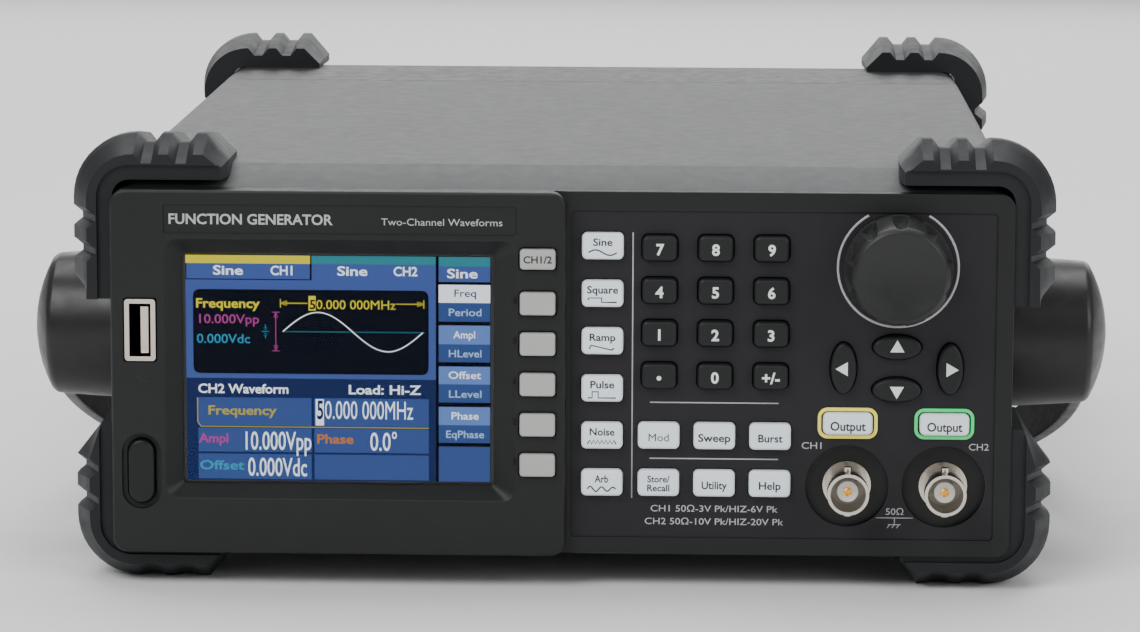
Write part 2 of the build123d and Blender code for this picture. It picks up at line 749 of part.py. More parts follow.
blade_width = 2.0
blade_height = 4.0
blade_length = 13.0
with BuildPart() as mains_inlet:
    with BuildSketch(facing(rear_face)):
        with Locations(inlet_place):
            RectangleRounded(inlet_flange[0], inlet_flange[1], 2.0)
    extrude(amount=-2.0)
    with BuildSketch(facing(rear_face)):
        with Locations(inlet_place):
            Rectangle(inlet_body[0], inlet_body[1])
    extrude(amount=inlet_depth)
    with BuildSketch(facing(rear_face + 2.0)):
        with Locations(inlet_place):
            RectangleRounded(inlet_body[0] - 3.0, inlet_body[1] - 3.4, 3.4)
    extrude(amount=inlet_depth - 1.5, mode=Mode.SUBTRACT)
    blades = [(-7.0, -2.0), (0.0, 2.0), (7.0, -2.0)]
    with BuildSketch(facing(rear_face - inlet_depth)):
        for across, up in blades:
            with Locations((inlet_place[0] + across, inlet_place[1] + up)):
                Rectangle(blade_width, blade_height)
    extrude(amount=-(3.5 + blade_length))
write(mains_inlet.part, "mains_inlet")

# ---------------------------------------------------------------- chassis, boards and power supply
chassis_front = 22.0
chassis_back = case_back - tongue_length - 2.0
chassis_half = case_half - case_wall - 2.0
chassis_side_height = 24.0
standoff_height = 7.0
standoff_radius = 3.0
board_gap = 5.0
board_left = -chassis_half + board_gap
board_right = chassis_half - 78.0
board_start = panel_y + chassis_front + 28.0
board_end = panel_y + chassis_back - board_gap
board_z = chassis_floor + chassis_thickness + standoff_height
board_part_inset = 49.5  # shield cans from the front edge, chips from the rear edge
standoff_places = [
    (x, y)
    for x in (board_left + 22.0, board_right - 6.0)
    for y in (board_start + 6.0, board_end - 22.0)
]
supply_left = board_right + board_gap
supply_right = chassis_half - board_gap - 8.0
supply_end = board_end - 6.0
supply_start = board_start + 15.0
supply_length = supply_end - supply_start

with BuildPart() as chassis:
    with BuildSketch(Plane.XY.offset(chassis_floor)):
        with Locations((0, panel_y + (chassis_front + chassis_back) / 2)):
            Rectangle(2 * chassis_half, chassis_back - chassis_front)
        with Locations(*bottom_screw_places):
            Circle(post_radius + clearance, mode=Mode.SUBTRACT)
    extrude(amount=chassis_thickness)
    for side in (-1, 1):
        wall_x = side * (chassis_half - chassis_thickness / 2)
        with BuildSketch(Plane.XY.offset(chassis_floor + chassis_thickness)):
            with Locations((wall_x, panel_y + (chassis_front + chassis_back) / 2)):
                Rectangle(chassis_thickness, chassis_back - chassis_front)
        extrude(amount=chassis_side_height)
    with BuildSketch(Plane.XY.offset(chassis_floor + chassis_thickness)) as standoffs:
        with Locations(*standoff_places):
            Circle(standoff_radius)
    extrude(amount=standoff_height)
    with BuildSketch(Plane.XY.offset(chassis_floor + chassis_thickness)) as standoff_holes:
        with Locations(*standoff_places):
            Circle(screw_radius)
    extrude(amount=standoff_height, mode=Mode.SUBTRACT)
write(chassis.part, "chassis")

with BuildPart() as main_board:
    with BuildSketch(Plane.XY.offset(board_z)):
        with Locations(((board_left + board_right) / 2, (board_start + board_end) / 2)):
            Rectangle(board_right - board_left, board_end - board_start)
        with Locations(*bottom_screw_places):
            Circle(post_radius + 2.0, mode=Mode.SUBTRACT)
        with Locations(*standoff_places):
            Circle(screw_radius + 0.1, mode=Mode.SUBTRACT)
    extrude(amount=board_thickness)
    with BuildSketch(Plane.XY.offset(board_z + board_thickness)) as shield_cans:
        with Locations(((board_left + board_right) / 2, board_start + board_part_inset)):
            with GridLocations(42.0, 1.0, 2, 1):
                RectangleRounded(34.0, 40.0, 1.5)
    extrude(amount=8.0)
    with BuildSketch(Plane.XY.offset(board_z + board_thickness)) as chips:
        with Locations(((board_left + board_right) / 2, board_end - board_part_inset)):
            with GridLocations(26.0, 24.0, 3, 2):
                Rectangle(14.0, 14.0)
    extrude(amount=2.0)
write(main_board.part, "main_board")

with BuildPart() as power_supply:
    supply_x = (supply_left + supply_right) / 2
    supply_y = (supply_start + supply_end) / 2
    with BuildSketch(Plane.XY.offset(chassis_floor + chassis_thickness)):
        with Locations((supply_x, supply_y)):
            Rectangle(supply_right - supply_left, supply_length)
    extrude(amount=6.0)
    with BuildSketch(Plane.XY.offset(chassis_floor + chassis_thickness + 6.0)) as supply_blocks:
        with Locations((supply_x, supply_y + 8.0)):
            Rectangle(26.0, 30.0)
        with Locations((supply_x + 18.0, supply_y - 30.0), (supply_x - 4.0, supply_y - 42.0)):
            Circle(8.0)
    extrude(amount=22.0)
    with BuildSketch(Plane.XY.offset(chassis_floor + chassis_thickness + 6.0)) as heat_sink:
        with Locations((supply_left + 6.0, supply_y)):
            Rectangle(4.0, 70.0)
    extrude(amount=28.0)
write(power_supply.part, "power_supply")

with BuildPart() as screws:
    with BuildSketch(Plane.XY.offset(case_bottom + 0.8)) as case_heads:
        with Locations(*bottom_screw_places):
            Circle(screw_head_radius)
    extrude(amount=2.2)
    with BuildSketch(Plane.XY.offset(case_bottom + 3.0)) as case_shanks:
        with Locations(*bottom_screw_places):
            Circle(screw_radius)
    extrude(amount=chassis_floor + 24.0 - case_bottom)
    with BuildSketch(Plane.XY.offset(board_z + board_thickness)) as board_heads:
        with Locations(*standoff_places):
            Circle(screw_head_radius)
    extrude(amount=2.0)
    with BuildSketch(Plane.XY.offset(board_z - standoff_height)) as board_shanks:
        with Locations(*standoff_places):
            Circle(screw_radius)
    extrude(amount=standoff_height + board_thickness)
    with BuildSketch(facing(rear_face)) as rear_heads:
        with Locations(*rear_screw_places):
            Circle(screw_head_radius)
    extrude(amount=-1.8)
    with BuildSketch(facing(rear_face)) as rear_shanks:
        with Locations(*rear_screw_places):
            Circle(screw_radius)
    extrude(amount=rear_plate_thickness + 6.0)
write(screws.part, "screws")

# ---------------------------------------------------------------- corner bumpers
diagonal = 0.5**0.5
notch_slope = 1.7
top_notches = [16.8, 24.9]  # start of each notch floor, in from the outer side
top_notch_floor = 2.4
side_notches = [18.4, 26.1]  # start of each notch floor, down from the top or up from the foot
side_notch_floor = 1.4
top_chamfer_start = 31.3
top_end_drop = 6.0
upper_chamfer = (3.8, 5.2)  # across and along, at the end of the side leg
lower_chamfer = (7.0, 9.0)
inner_corner = 4.0
front_lip_drop = 10.0


def notch_run(starts, floor, inset, notch):
    """Pairs of (along, in) for a row of shallow notches with sloping sides."""
    run = []
    for start in starts:
        run += [(start - notch_slope, inset), (start, inset + notch)]
        run += [(start + floor, inset + notch), (start + floor + notch_slope, inset)]
    return run


def bumper_section(depth, inset, inner_drop, side, level):
    """One L-shaped section round a corner: side is -1 or 1, level is 1 at the top and -1 at the foot."""
    chamfer_in, chamfer_run = upper_chamfer if level > 0 else lower_chamfer
    notch = notch_depth if level > 0 else foot_notch_depth

    def corner(across, down):
        return side * (half_width - across), mid_z + level * (mid_z - down)

    def quarter(centre, radius):
        """End, middle and start of a quarter turn about a centre, from the side leg to the top leg."""
        across, down = centre
        reach = radius * diagonal
        points = [(across - radius, down), (across - reach, down - reach), (across, down - radius)]
        return [corner(*point) for point in points]

    side_pairs = notch_run(side_notches, side_notch_floor, inset, notch_depth)
    side_run = [corner(into, along) for along, into in side_pairs]
    top_run = [corner(along, into) for along, into in notch_run(top_notches, top_notch_floor, inset, notch)]
    outer_turn = quarter((bumper_radius, bumper_radius), bumper_radius - inset)
    inner_turn = quarter((bumper_side + inner_corner, inner_drop + inner_corner), inner_corner)
    leg_end = bumper_leg - 0.3 * inset
    with BuildSketch(facing(depth)) as section:
        with BuildLine():
            Polyline(
                inner_turn[0],
                corner(bumper_side, bumper_side_leg),
                corner(chamfer_in, bumper_side_leg),
                corner(inset, bumper_side_leg - chamfer_run),
                *reversed(side_run),
                outer_turn[0],
            )
            ThreePointArc(*outer_turn)
            Polyline(
                outer_turn[2],
                *top_run,
                corner(top_chamfer_start, inset),
                corner(leg_end, top_end_drop + 0.3 * inset),
                corner(leg_end, inner_drop),
                inner_turn[2],
            )
            ThreePointArc(*reversed(inner_turn))
        make_face()
    return section.sketch


front_stations = [
    (0, bumper_draft_front),
    (bumper_crest, 0),
    (bumper_crest + bumper_band, 0),
    (bumper_depth, bumper_draft_back),
]
rear_stations = [(bumper_length - depth, inset) for depth, inset in reversed(front_stations)]

with BuildPart() as corner_bumpers:
    for side in (-1, 1):
        for level in (1, -1):
            drop = front_lip_drop if level > 0 else bumper_foot
            loft(
                [bumper_section(depth, inset, drop, side, level) for depth, inset in front_stations],
                ruled=True,
            )
            loft(
                [bumper_section(depth, inset, bumper_foot, side, level) for depth, inset in rear_stations],
                ruled=True,
            )
    # the rubber lies on the case, so the case's own form is taken away from it
    case_form(0, mode=Mode.SUBTRACT)
    # stepped lip round the inside of each open face
    for face_depth, into in ((0, -1), (bumper_length, 1)):
        with BuildSketch(facing(face_depth)) as lip:
            with Locations((0, mid_z)):
                RectangleRounded(
                    case_width + 2 * lip_width,
                    bumper_height - 2 * (front_lip_drop - lip_width),
                    inner_corner + lip_width,
                )
        extrude(amount=into * lip_recess, mode=Mode.SUBTRACT)
write(corner_bumpers.part, "corner_bumpers")

# ---------------------------------------------------------------- handle and its pivots
hub_gap = 0.6
hub_inner = case_half + hub_gap
hub_face = case_half + hub_reach
hub_edge = hub_face - hub_dome
dome_rim = hub_rim_radius - 0.9
bail_half = hub_edge - 0.6
bail_bottom = bail_half - bail_corner
arm_radius = 15.5
grip_y = pivot_y + grip_reach


def bail_outline(half, bottom, radius, top):
    """A U seen from the front, closed across its top."""
    reach = radius * diagonal
    Polyline((-half, bottom + radius), (-half, top), (half, top), (half, bottom + radius))
    ThreePointArc(
        (half, bottom + radius),
        (half - radius + reach, bottom + radius - reach),
        (half - radius, bottom),
    )
    Line((half - radius, bottom), (-half + radius, bottom))
    ThreePointArc(
        (-half + radius, bottom),
        (-half + radius - reach, bottom + radius - reach),
        (-half, bottom + radius),
    )


# right hub: a slightly conical drum whose outer face is a shallow dome
with BuildPart() as hub_form:
    with BuildSketch(Plane.XY.offset(pivot_z)):
        with BuildLine():
            Polyline(
                (hub_face, pivot_y),
                (hub_inner, pivot_y),
                (hub_inner, pivot_y + hub_radius),
                (hub_edge - 1.0, pivot_y + hub_rim_radius + 0.1),
                (hub_edge, pivot_y + dome_rim),
            )
            ThreePointArc(
                (hub_edge, pivot_y + dome_rim),
                (hub_face - cap_height(dome_rim, hub_dome, dome_rim / 2), pivot_y + dome_rim / 2),
                (hub_face, pivot_y),
            )
        make_face()
    revolve(axis=Axis((0, pivot_y, pivot_z), (1, 0, 0)))

with BuildPart() as handle:
    # bail: a U seen from the front, trimmed to its outline seen from the side
    with BuildSketch(Plane.XZ.offset(-pivot_y)) as bail_front:
        with BuildLine():
            bail_outline(bail_half, grip_clearance, bail_corner, pivot_z)
        make_face()
        with BuildLine():
            bail_outline(
                bail_half - bail_thickness,
                grip_clearance + bail_thickness,
                bail_corner - bail_thickness,
                pivot_z,
            )
        make_face(mode=Mode.SUBTRACT)
    extrude(amount=grip_reach + grip_depth, both=True)
    with BuildSketch(sideways(0)) as arm_side:
        with Locations((pivot_y, pivot_z)):
            Circle(arm_radius)
        with Locations((grip_y, grip_clearance + bail_thickness / 2)):
            Rectangle(grip_depth, bail_thickness)
        make_hull()
    extrude(amount=hub_face, both=True, mode=Mode.INTERSECT)
    add(hub_form.part)
    mirror(hub_form.part, about=Plane.YZ)
    for side in (-1, 1):
        with BuildSketch(sideways(side * hub_inner)) as pivot_bore:
            with Locations((pivot_y, pivot_z)):
                Circle(pivot_radius + running_gap)
        extrude(amount=side * (pivot_depth + clearance), mode=Mode.SUBTRACT)
write(handle.part, "handle")

with BuildPart() as handle_pivots:
    for side in (-1, 1):
        with BuildSketch(sideways(side * (case_half - case_wall))) as pin:
            with Locations((pivot_y, pivot_z)):
                Circle(pivot_radius)
        extrude(amount=side * (case_wall + hub_gap + pivot_depth))
        with BuildSketch(sideways(side * (case_half - case_wall))) as pin_head:
            with Locations((pivot_y, pivot_z)):
                Circle(pivot_radius + 3.0)
        extrude(amount=-side * 3.0)
write(handle_pivots.part, "handle_pivots")
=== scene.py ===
import math

import bpy
from mathutils import Matrix, Vector


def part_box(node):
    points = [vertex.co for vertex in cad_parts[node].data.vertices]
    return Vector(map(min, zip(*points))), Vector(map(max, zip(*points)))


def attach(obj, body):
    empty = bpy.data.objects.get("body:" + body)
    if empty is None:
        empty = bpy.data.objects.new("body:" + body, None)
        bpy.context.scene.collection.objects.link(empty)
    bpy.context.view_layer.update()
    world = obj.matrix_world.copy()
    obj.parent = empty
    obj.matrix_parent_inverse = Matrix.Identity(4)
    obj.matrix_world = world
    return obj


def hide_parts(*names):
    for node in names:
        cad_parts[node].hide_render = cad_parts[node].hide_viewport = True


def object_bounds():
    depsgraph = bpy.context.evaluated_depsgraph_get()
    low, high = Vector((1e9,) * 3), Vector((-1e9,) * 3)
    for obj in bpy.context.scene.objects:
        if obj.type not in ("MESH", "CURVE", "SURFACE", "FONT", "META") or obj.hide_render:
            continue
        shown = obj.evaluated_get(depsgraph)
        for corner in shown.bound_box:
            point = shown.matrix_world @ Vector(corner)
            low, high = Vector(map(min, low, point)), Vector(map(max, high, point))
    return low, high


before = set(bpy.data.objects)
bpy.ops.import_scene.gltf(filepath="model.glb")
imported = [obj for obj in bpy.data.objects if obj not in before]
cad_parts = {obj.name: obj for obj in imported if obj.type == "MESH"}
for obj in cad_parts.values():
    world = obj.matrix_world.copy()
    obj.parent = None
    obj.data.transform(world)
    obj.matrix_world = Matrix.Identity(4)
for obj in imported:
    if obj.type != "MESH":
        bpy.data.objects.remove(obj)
cad_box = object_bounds()

# Bench function generator. Metres; +X right, +Y to the back, +Z up, the front panel faces -Y.
MM = 0.001
INK = 0.02 * MM  # a printed layer's thickness over its surface
HOUSING = "instrument"


# ---------------------------------------------------------------- bench tools
def deselect():
    bpy.ops.object.select_all(action="DESELECT")


def take(piece):
    """Makes one piece the only selected and active one."""
    deselect()
    piece.select_set(True)
    bpy.context.view_layer.objects.active = piece


def settle(piece):
    """Puts a piece's place, turn and size into its mesh."""
    take(piece)
    bpy.ops.object.transform_apply(location=True, rotation=True, scale=True)


def outward(piece, gap=1e-7):
    """Merges doubles and turns every face outwards."""
    take(piece)
    bpy.ops.object.mode_set(mode="EDIT")
    bpy.ops.mesh.select_all(action="SELECT")
    bpy.ops.mesh.remove_doubles(threshold=gap)
    bpy.ops.mesh.normals_make_consistent(inside=False)
    bpy.ops.object.mode_set(mode="OBJECT")


def smooth(piece, degrees=35):
    take(piece)
    bpy.ops.object.shade_smooth_by_angle(angle=math.radians(degrees))


def pick(piece, wanted):
    """Leaves edit mode open with only the faces selected that wanted(face) is true for."""
    take(piece)
    bpy.ops.object.mode_set(mode="EDIT")
    bpy.ops.mesh.select_mode(type="FACE")
    bpy.ops.mesh.select_all(action="DESELECT")
    bpy.ops.object.mode_set(mode="OBJECT")
    for face in piece.data.polygons:
        face.select = bool(wanted(face))
    bpy.ops.object.mode_set(mode="EDIT")


def ease(piece, width, segments=2, degrees=30):
    """Eases a piece's sharp edges with a bevel."""
    bevel = piece.modifiers.new("ease", "BEVEL")
    bevel.width = width
    bevel.segments = segments
    bevel.limit_method = "ANGLE"
    bevel.angle_limit = math.radians(degrees)
    bevel.use_clamp_overlap = False
    take(piece)
    bpy.ops.object.modifier_apply(modifier=bevel.name)


def dress(piece, finish):
    piece.data.materials.clear()
    piece.data.materials.append(finish)


def done(piece, name, finish, body, slot, *nodes):
    """Names a finished piece, gives it its finish and sets it on its body."""
    piece.name = name
    piece.data.name = name
    if finish is not None:
        dress(piece, finish)
    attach(piece, body)
    if nodes:
        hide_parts(*nodes)
    return piece


def weld(pieces):
    """Joins several pieces into one."""
    deselect()
    for piece in pieces:
        piece.select_set(True)
    bpy.context.view_layer.objects.active = pieces[0]
    if len(pieces) > 1:
        bpy.ops.object.join()
    return pieces[0]


def block(low, high):
    """A block between two corners, in metres."""
    centre = [(a + b) / 2 for a, b in zip(low, high)]
    deselect()
    bpy.ops.mesh.primitive_cube_add(size=1, location=centre)
    piece = bpy.context.object
    piece.scale = [b - a for a, b in zip(low, high)]
    settle(piece)
    return piece


def drum(centre, radius, length, sides=48, axis="Y", end_radius=None):
    """A round bar or cone along an axis, standing from its centre both ways."""
    turn = {"X": (0, math.pi / 2, 0), "Y": (math.pi / 2, 0, 0), "Z": (0, 0, 0)}[axis]
    deselect()
    bpy.ops.mesh.primitive_cone_add(
        vertices=sides,
        radius1=radius if end_radius is None else end_radius,
        radius2=radius,
        depth=length,
        location=centre,
        rotation=turn,
    )
    piece = bpy.context.object
    settle(piece)
    return piece


def round_corners(piece, radius, segments=5):
    """Rounds the four edges of a block that run along Y."""
    take(piece)
    bpy.ops.object.mode_set(mode="EDIT")
    bpy.ops.mesh.select_mode(type="EDGE")
    bpy.ops.mesh.select_all(action="DESELECT")
    bpy.ops.object.mode_set(mode="OBJECT")
    for edge in piece.data.edges:
        a, b = (piece.data.vertices[index].co for index in edge.vertices)
        along = (b - a).normalized()
        edge.select = abs(along.y) > 0.99
    bpy.ops.object.mode_set(mode="EDIT")
    bpy.ops.mesh.bevel(offset=radius, segments=segments, affect="EDGES")
    bpy.ops.object.mode_set(mode="OBJECT")
    return piece


def copy_of(node, whole_faces=True):
    """A merged copy of a CAD piece, its flat faces made whole unless they are too stepped for it."""
    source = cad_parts[node]
    piece = source.copy()
    piece.data = source.data.copy()
    piece.parent = None
    piece.matrix_world = Matrix.Identity(4)
    for key in list(piece.keys()):
        del piece[key]
    bpy.context.collection.objects.link(piece)
    take(piece)
    bpy.ops.mesh.customdata_custom_splitnormals_clear()
    bpy.ops.object.mode_set(mode="EDIT")
    bpy.ops.mesh.select_all(action="SELECT")
    bpy.ops.mesh.remove_doubles(threshold=1e-6)
    if whole_faces:
        bpy.ops.mesh.dissolve_limited(angle_limit=math.radians(0.5))
    bpy.ops.object.mode_set(mode="OBJECT")
    return piece


def cut_to_triangles(piece):
    take(piece)
    bpy.ops.object.mode_set(mode="EDIT")
    bpy.ops.mesh.select_all(action="SELECT")
    bpy.ops.mesh.quads_convert_to_tris(quad_method="BEAUTY", ngon_method="BEAUTY")
    bpy.ops.object.mode_set(mode="OBJECT")


def eased_copy(node, name, finish, body, slot, width, segments=2, degrees=30):
    piece = copy_of(node)
    ease(piece, width, segments, degrees)
    cut_to_triangles(piece)
    smooth(piece)
    weigh = piece.modifiers.new("weigh", "WEIGHTED_NORMAL")
    weigh.keep_sharp = True
    take(piece)
    bpy.ops.object.modifier_apply(modifier=weigh.name)
    return done(piece, name, finish, body, slot, node)


def stand_up(piece, x, y, z):
    """Turns a flat mesh drawn in XY to face the front and puts it in its place."""
    piece.rotation_euler = (math.pi / 2, 0, 0)
    piece.location = (x, y, z)
    settle(piece)
    return piece


FONT_CAP = 0.682  # height of a capital over the letter size


def words(text, x, z, y, cap, width=None, align="CENTER", bold=0.0, facing=1):
    """Raised lettering: (x, z) is the foot of the first line at its centre, left or right end."""
    deselect()
    bpy.ops.object.text_add(location=(0, 0, 0))
    piece = bpy.context.object
    piece.data.body = text
    piece.data.size = cap / FONT_CAP
    piece.data.align_x = align
    piece.data.resolution_u = 3
    piece.data.offset = bold * cap
    piece.data.extrude = INK
    bpy.ops.object.convert(target="MESH")
    piece = bpy.context.object
    if width:
        piece.scale = (width / piece.dimensions.x, 1, 1)
        settle(piece)
    stand_up(piece, x, y, z)
    if facing < 0:
        there = Matrix.Translation((x, y, 0))
        piece.matrix_world = there @ Matrix.Rotation(math.pi, 4, "Z") @ there.inverted()
        settle(piece)
    outward(piece)
    return piece


def stroke(points, y, radius, closed=False, flat=0.25):
    """A thin raised line through (x, z) points at depth y."""
    line = bpy.data.curves.new("line", "CURVE")
    line.dimensions = "3D"
    path = line.splines.new("POLY")
    path.points.add(len(points) - 1)
    for point, (x, z) in zip(path.points, points):
        point.co = (x, z, 0, 1)
    path.use_cyclic_u = closed
    line.bevel_depth = radius
    line.bevel_resolution = 1
    line.use_fill_caps = not closed
    piece = bpy.data.objects.new("line", line)
    bpy.context.collection.objects.link(piece)
    take(piece)
    bpy.ops.object.convert(target="MESH")
    piece = bpy.context.object
    piece.scale = (1, 1, flat)
    settle(piece)
    stand_up(piece, 0, y, 0)
    outward(piece)
    return piece


def plate(x0, x1, z0, z1, y, thickness=0.05 * MM, radius=0.0):
    """A thin plate whose face is at y."""
    piece = block((x0, y, z0), (x1, y + thickness, z1))
    if radius:
        round_corners(piece, radius, 4)
    return piece


def middle(node):
    """The centre of a CAD piece's box."""
    low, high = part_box(node)
    return (low + high) / 2


# ---------------------------------------------------------------- finishes
def new_finish(name):
    finish = bpy.data.materials.new(name)
    finish.use_nodes = True
    tree = finish.node_tree
    return finish, tree.nodes, tree.links, tree.nodes["Principled BSDF"]


def noise(nodes, links, coordinates, scale, detail=3.0):
    texture = nodes.new("ShaderNodeTexNoise")
    texture.inputs["Scale"].default_value = scale
    texture.inputs["Detail"].default_value = detail
    links.new(coordinates.outputs["Object"], texture.inputs["Vector"])
    return texture


def span(nodes, links, value, low, high):
    ranged = nodes.new("ShaderNodeMapRange")
    ranged.inputs["From Min"].default_value = 0.3
    ranged.inputs["From Max"].default_value = 0.7
    ranged.inputs["To Min"].default_value = low
    ranged.inputs["To Max"].default_value = high
    links.new(value, ranged.inputs["Value"])
    return ranged.outputs["Result"]


def blend_colours(nodes, links, factor, first, second):
    mixed = nodes.new("ShaderNodeMix")
    mixed.data_type = "RGBA"
    mixed.inputs["A"].default_value = (*first, 1)
    mixed.inputs["B"].default_value = (*second, 1)
    links.new(factor, mixed.inputs["Factor"])
    return mixed.outputs["Result"]


def surface(
    name,
    colour,
    roughness,
    grain=2500.0,
    grain_depth=0.01 * MM,
    blotch=0.08,
    metallic=0.0,
    specular=0.5,
    sheen=0.0,
    coat=0.0,
):
    """A finish with fine grain, faint cloudiness of colour and an uneven polish."""
    finish, nodes, links, shader = new_finish(name)
    coordinates = nodes.new("ShaderNodeTexCoord")
    cloud = noise(nodes, links, coordinates, 45.0, 4.0)
    light = tuple(min(1.0, c * (1 + blotch)) for c in colour)
    dark = tuple(c * (1 - blotch) for c in colour)
    factor = span(nodes, links, cloud.outputs["Fac"], 0.0, 1.0)
    links.new(blend_colours(nodes, links, factor, dark, light), shader.inputs["Base Color"])
    polish = noise(nodes, links, coordinates, 260.0, 3.0)
    uneven = span(nodes, links, polish.outputs["Fac"], roughness - 0.05, roughness + 0.05)
    links.new(uneven, shader.inputs["Roughness"])
    fine = noise(nodes, links, coordinates, grain, 2.0)
    bump = nodes.new("ShaderNodeBump")
    bump.inputs["Strength"].default_value = 1.0
    bump.inputs["Distance"].default_value = grain_depth
    links.new(fine.outputs["Fac"], bump.inputs["Height"])
    links.new(bump.outputs["Normal"], shader.inputs["Normal"])
    shader.inputs["Metallic"].default_value = metallic
    shader.inputs["Specular IOR Level"].default_value = specular
    shader.inputs["Sheen Weight"].default_value = sheen
    shader.inputs["Coat Weight"].default_value = coat
    return finish


def ink(name, colour):
    """Screen-printed ink: an even colour that is a little thinner here and there."""
    return surface(name, colour, 0.55, grain=5000.0, grain_depth=0.002 * MM, blotch=0.05)


def glow(name, colour, strength=1.0):
    """A lit patch of the display, with the faint lattice of its dots."""
    finish, nodes, links, shader = new_finish(name)
    coordinates = nodes.new("ShaderNodeTexCoord")
    lattice = nodes.new("ShaderNodeTexWave")
    lattice.bands_direction = "X"
    lattice.inputs["Scale"].default_value = 700.0
    links.new(coordinates.outputs["Object"], lattice.inputs["Vector"])
    even = span(nodes, links, lattice.outputs["Fac"], 0.0, 1.0)
    dim = tuple(c * 0.9 for c in colour)
    links.new(blend_colours(nodes, links, even, dim, colour), shader.inputs["Emission Color"])
    shader.inputs["Base Color"].default_value = (0.0, 0.0, 0.0, 1)
    shader.inputs["Roughness"].default_value = 0.6
    shader.inputs["Specular IOR Level"].default_value = 0.0
    shader.inputs["Emission Strength"].default_value = strength
    return finish


def lit(finish, colour, strength):
    """Gives a finish a painted glow: a little light of its own on a part that is no lamp."""
    shader = finish.node_tree.nodes["Principled BSDF"]
    shader.inputs["Emission Color"].default_value = (*colour, 1)
    shader.inputs["Emission Strength"].default_value = strength


def clear_window(name):
    finish, nodes, links, shader = new_finish(name)
    coordinates = nodes.new("ShaderNodeTexCoord")
    smear = noise(nodes, links, coordinates, 30.0, 2.0)
    links.new(span(nodes, links, smear.outputs["Fac"], 0.01, 0.05), shader.inputs["Roughness"])
    shader.inputs["Base Color"].default_value = (1, 1, 1, 1)
    shader.inputs["Transmission Weight"].default_value = 1.0
    shader.inputs["IOR"].default_value = 1.12
    return finish


bezel_black = surface(
    "bezel black",
    (0.0085, 0.0095, 0.0092),
    0.46,
    specular=0.32,
    grain=3200.0,
    grain_depth=0.012 * MM,
)
panel_charcoal = surface(
    "panel charcoal",
    (0.0125, 0.0118, 0.0150),
    0.55,
    specular=0.3,
    grain=4200.0,
    grain_depth=0.004 * MM,
    blotch=0.05,
)
rubber = surface(
    "bumper rubber",
    (0.0055, 0.0068, 0.0090),
    0.55,
    specular=0.36,
    grain=1800.0,
    grain_depth=0.014 * MM,
    blotch=0.12,
)
case_grey = surface(
    "case grey", (0.072, 0.074, 0.076), 0.62, grain=1500.0, grain_depth=0.05 * MM, blotch=0.04
)
rear_black = surface(
    "rear black", (0.010, 0.0105, 0.011), 0.5, specular=0.35, grain=1500.0, grain_depth=0.03 * MM
)
handle_black = surface(
    "handle black",
    (0.010, 0.0092, 0.0092),
    0.38,
    specular=0.42,
    grain=2600.0,
    grain_depth=0.01 * MM,
)
soft_key_grey = surface(
    "soft key grey", (0.40, 0.40, 0.385), 0.45, grain=3500.0, grain_depth=0.006 * MM, blotch=0.04
)
key_white = surface(
    "key white", (0.86, 0.93, 1.0), 0.42, grain=3500.0, grain_depth=0.004 * MM, blotch=0.03
)
key_black = surface(
    "key black", (0.0070, 0.0080, 0.0085), 0.5, specular=0.34, grain=3000.0, grain_depth=0.01 * MM
)
power_black = surface(
    "power black",
    (0.0050, 0.0055, 0.0055),
    0.4,
    specular=0.32,
    grain=3000.0,
    grain_depth=0.008 * MM,
)
knob_black = surface(
    "knob black", (0.0095, 0.0100, 0.0100), 0.42, specular=0.42, grain=2600.0, grain_depth=0.01 * MM
)
nickel = surface(
    "nickel plate", (0.62, 0.57, 0.50), 0.17, grain=900.0, grain_depth=0.002 * MM, metallic=1.0
)
steel = surface(
    "steel", (0.46, 0.45, 0.43), 0.3, grain=1200.0, grain_depth=0.003 * MM, metallic=1.0
)
gold = surface(
    "gold contact", (0.88, 0.42, 0.07), 0.3, grain=900.0, grain_depth=0.002 * MM, metallic=1.0
)
insulator_white = surface(
    "insulator white", (0.93, 0.92, 0.88), 0.4, grain=3000.0, grain_depth=0.004 * MM, blotch=0.03
)
sheet_steel = surface(
    "zinc sheet",
    (0.42, 0.43, 0.44),
    0.42,
    grain=700.0,
    grain_depth=0.01 * MM,
    blotch=0.15,
    metallic=1.0,
)
board_green = surface(
    "circuit board", (0.02, 0.10, 0.05), 0.4, grain=900.0, grain_depth=0.01 * MM, blotch=0.2
)
silicone_grey = surface("silicone mat", (0.12, 0.12, 0.13), 0.6, blotch=0.05)
inlet_black = surface("inlet black", (0.014, 0.014, 0.015), 0.4)
screw_black = surface(
    "black screw", (0.06, 0.06, 0.06), 0.32, grain=1500.0, grain_depth=0.004 * MM, metallic=1.0
)
print_grey = ink("print light grey", (0.42, 0.42, 0.44))
print_white = ink("print white", (0.80, 0.80, 0.80))
print_dark = ink("print dark", (0.010, 0.012, 0.018))
# painted shade: near-black ink on raised leader lines and the USB mark stands in for the shade inside
# engraved grooves
groove_shade_ink = ink("engraved line", (0.006, 0.006, 0.006))
ring_yellow = surface(
    "ring yellow", (0.80, 0.72, 0.10), 0.35, grain=3000.0, grain_depth=0.003 * MM, blotch=0.04
)
ring_green = surface(
    "ring green", (0.05, 0.62, 0.18), 0.35, grain=3000.0, grain_depth=0.003 * MM, blotch=0.04
)
# painted glow: the printed output rings get a faint light of their own, though no lamp is in them
lit(ring_yellow, (0.80, 0.68, 0.03), 0.35)
lit(ring_green, (0.03, 0.60, 0.14), 0.35)
window_clear = clear_window("window clear")

soft_keys = ["channel_key"] + [f"menu_key_{row}" for row in range(1, 6)]
wave_keys = [f"{name}_key" for name in ("sine", "square", "ramp", "pulse", "noise", "arb")]
function_keys = [f"{name}_key" for name in ("mod", "sweep", "burst", "store", "utility", "help")]
output_keys = ["output_key_1", "output_key_2"]
number_names = ("7", "8", "9", "4", "5", "6", "1", "2", "3", "point", "0", "sign")
number_keys = [f"number_key_{name}" for name in number_names]
arrow_keys = [f"arrow_key_{name}" for name in ("up", "down", "left", "right")]

